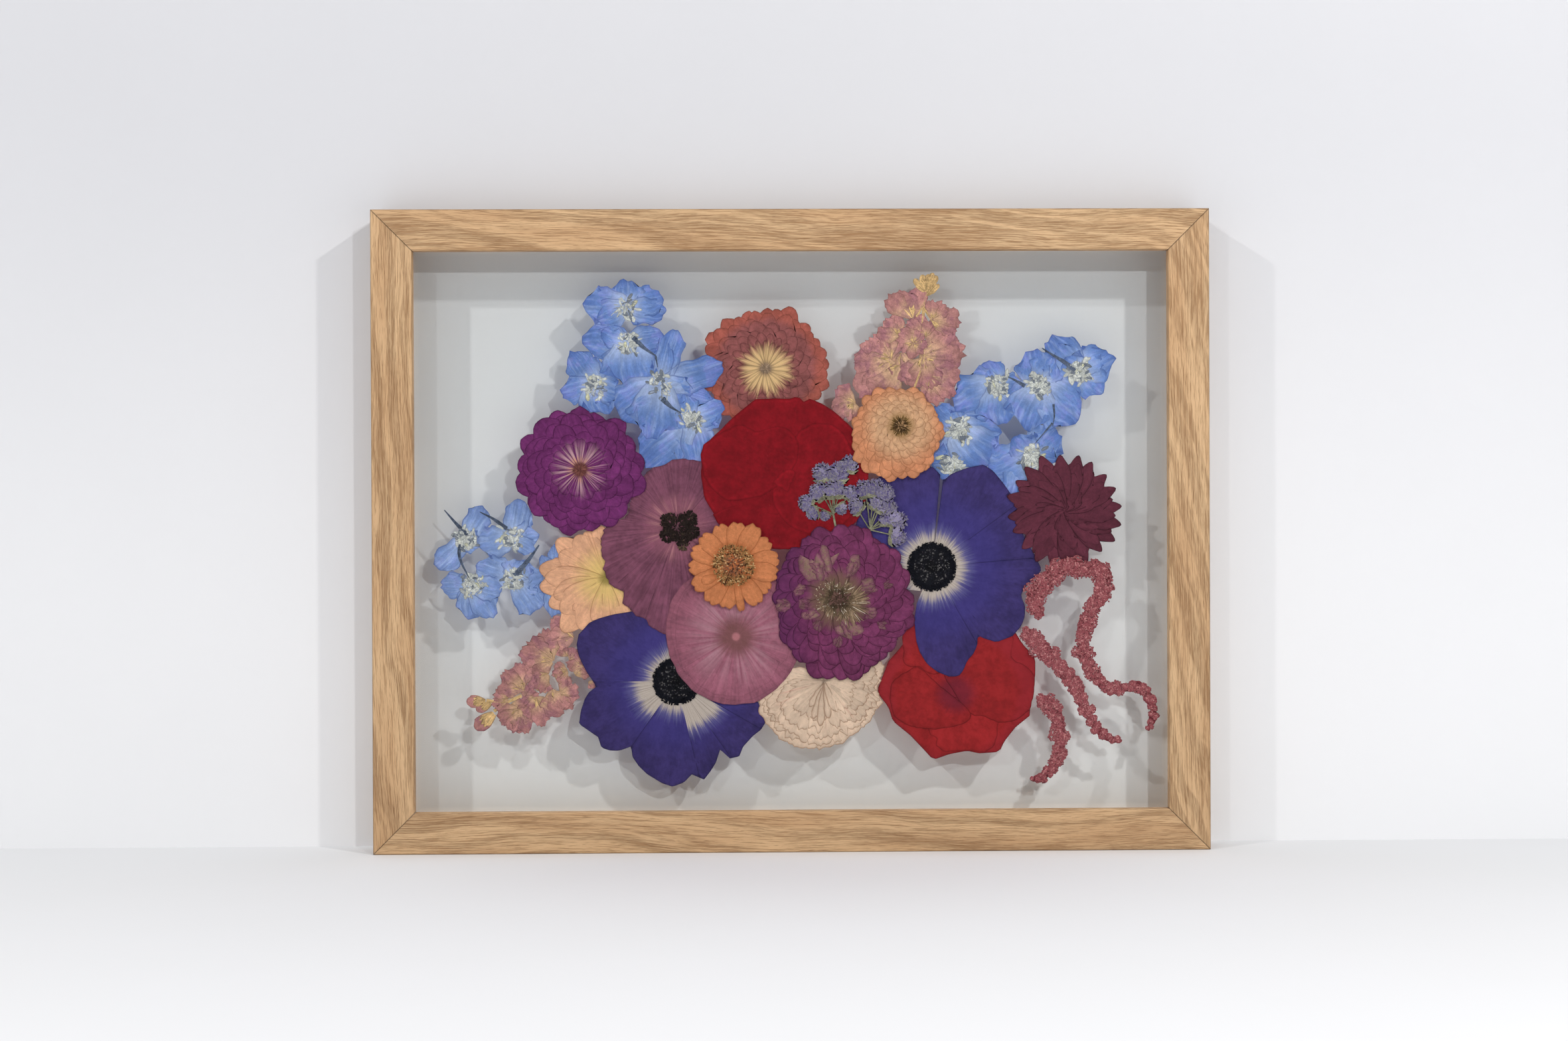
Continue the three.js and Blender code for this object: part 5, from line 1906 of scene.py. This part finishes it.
def room():
    """Soft light, brighter from above and from behind the wall, and hardly mirrored in the panes."""
    world = bpy.data.worlds.new("soft room")
    world.use_nodes = True
    tree = Tree(world.node_tree)
    way = tree.node("ShaderNodeTexCoord", {}, {}, "Generated")
    light = tree.part(way, "Y").ramp(-0.15, 0.15) * 0.45 + 0.06 + tree.part(way, "Z").ramp(0, 1) * 0.5
    mirrored = tree.node("ShaderNodeLightPath", {}, {}, "Is Glossy Ray")
    seen = tree.node("ShaderNodeLightPath", {}, {}, "Is Camera Ray")
    light = light * (1 - mirrored * 0.95)
    light = light + (0.8 - light) * seen
    colour = display(240, 242, 246)
    surface = tree.node("ShaderNodeBackground", {}, {"Color": colour, "Strength": light})
    tree.node("ShaderNodeOutputWorld", {}, {"Surface": surface})
    return world


class STAGE_OT_studio(bpy.types.Operator):
    """Set up the table, the wall, the lamps and the camera"""

    bl_idname = "flower_frame.studio"
    bl_label = "Studio"

    def execute(self, context):
        scene = context.scene
        stage_plane("table", Matrix.Identity(4), table_paint())
        place = Matrix.Translation((0, BACK + frame_looks().wall_gap, STAGE_SIZE / 4))
        stage_plane("wall", place @ Matrix.Rotation(math.pi / 2, 4, "X"), wall_paint())
        for settings in LAMPS:
            lamp(*settings)
        scene.world = room()
        scene.view_settings.view_transform = "Standard"
        scene.camera = camera()
        return {"FINISHED"}


# ---- the panel and the run ----

STEPS = (
    "studio", "oak", "panes", "zinnias", "ray_flowers", "roses", "anemones", "mauves",
    "delphiniums", "stocks", "sprigs",
)


class VIEW3D_PT_flower_frame(bpy.types.Panel):
    """Lists the steps that build the frame and its flowers."""

    bl_label = "Pressed flower frame"
    bl_space_type = "VIEW_3D"
    bl_region_type = "UI"
    bl_category = "Flowers"

    def draw(self, context):
        for step in STEPS:
            self.layout.operator("flower_frame." + step)
        for looks in (context.scene.frame_looks, context.scene.flower_looks):
            box = self.layout.box()
            for name in looks.__annotations__:
                box.prop(looks, name)


CLASSES = (
    FrameLooks,
    FlowerLooks,
    FRAME_OT_oak,
    FRAME_OT_panes,
    FLOWER_OT_zinnias,
    FLOWER_OT_ray_flowers,
    FLOWER_OT_roses,
    FLOWER_OT_anemones,
    FLOWER_OT_mauves,
    FLOWER_OT_delphiniums,
    FLOWER_OT_stocks,
    FLOWER_OT_sprigs,
    STAGE_OT_studio,
    VIEW3D_PT_flower_frame,
)


def register():
    for item in CLASSES:
        bpy.utils.register_class(item)
    bpy.types.Scene.frame_looks = bpy.props.PointerProperty(type=FrameLooks)
    bpy.types.Scene.flower_looks = bpy.props.PointerProperty(type=FlowerLooks)


def unregister():
    del bpy.types.Scene.flower_looks
    del bpy.types.Scene.frame_looks
    for item in reversed(CLASSES):
        bpy.utils.unregister_class(item)


def main():
    """Builds everything."""
    register()
    for step in STEPS:
        getattr(bpy.ops.flower_frame, step)()


if __name__ == "__main__":
    main()
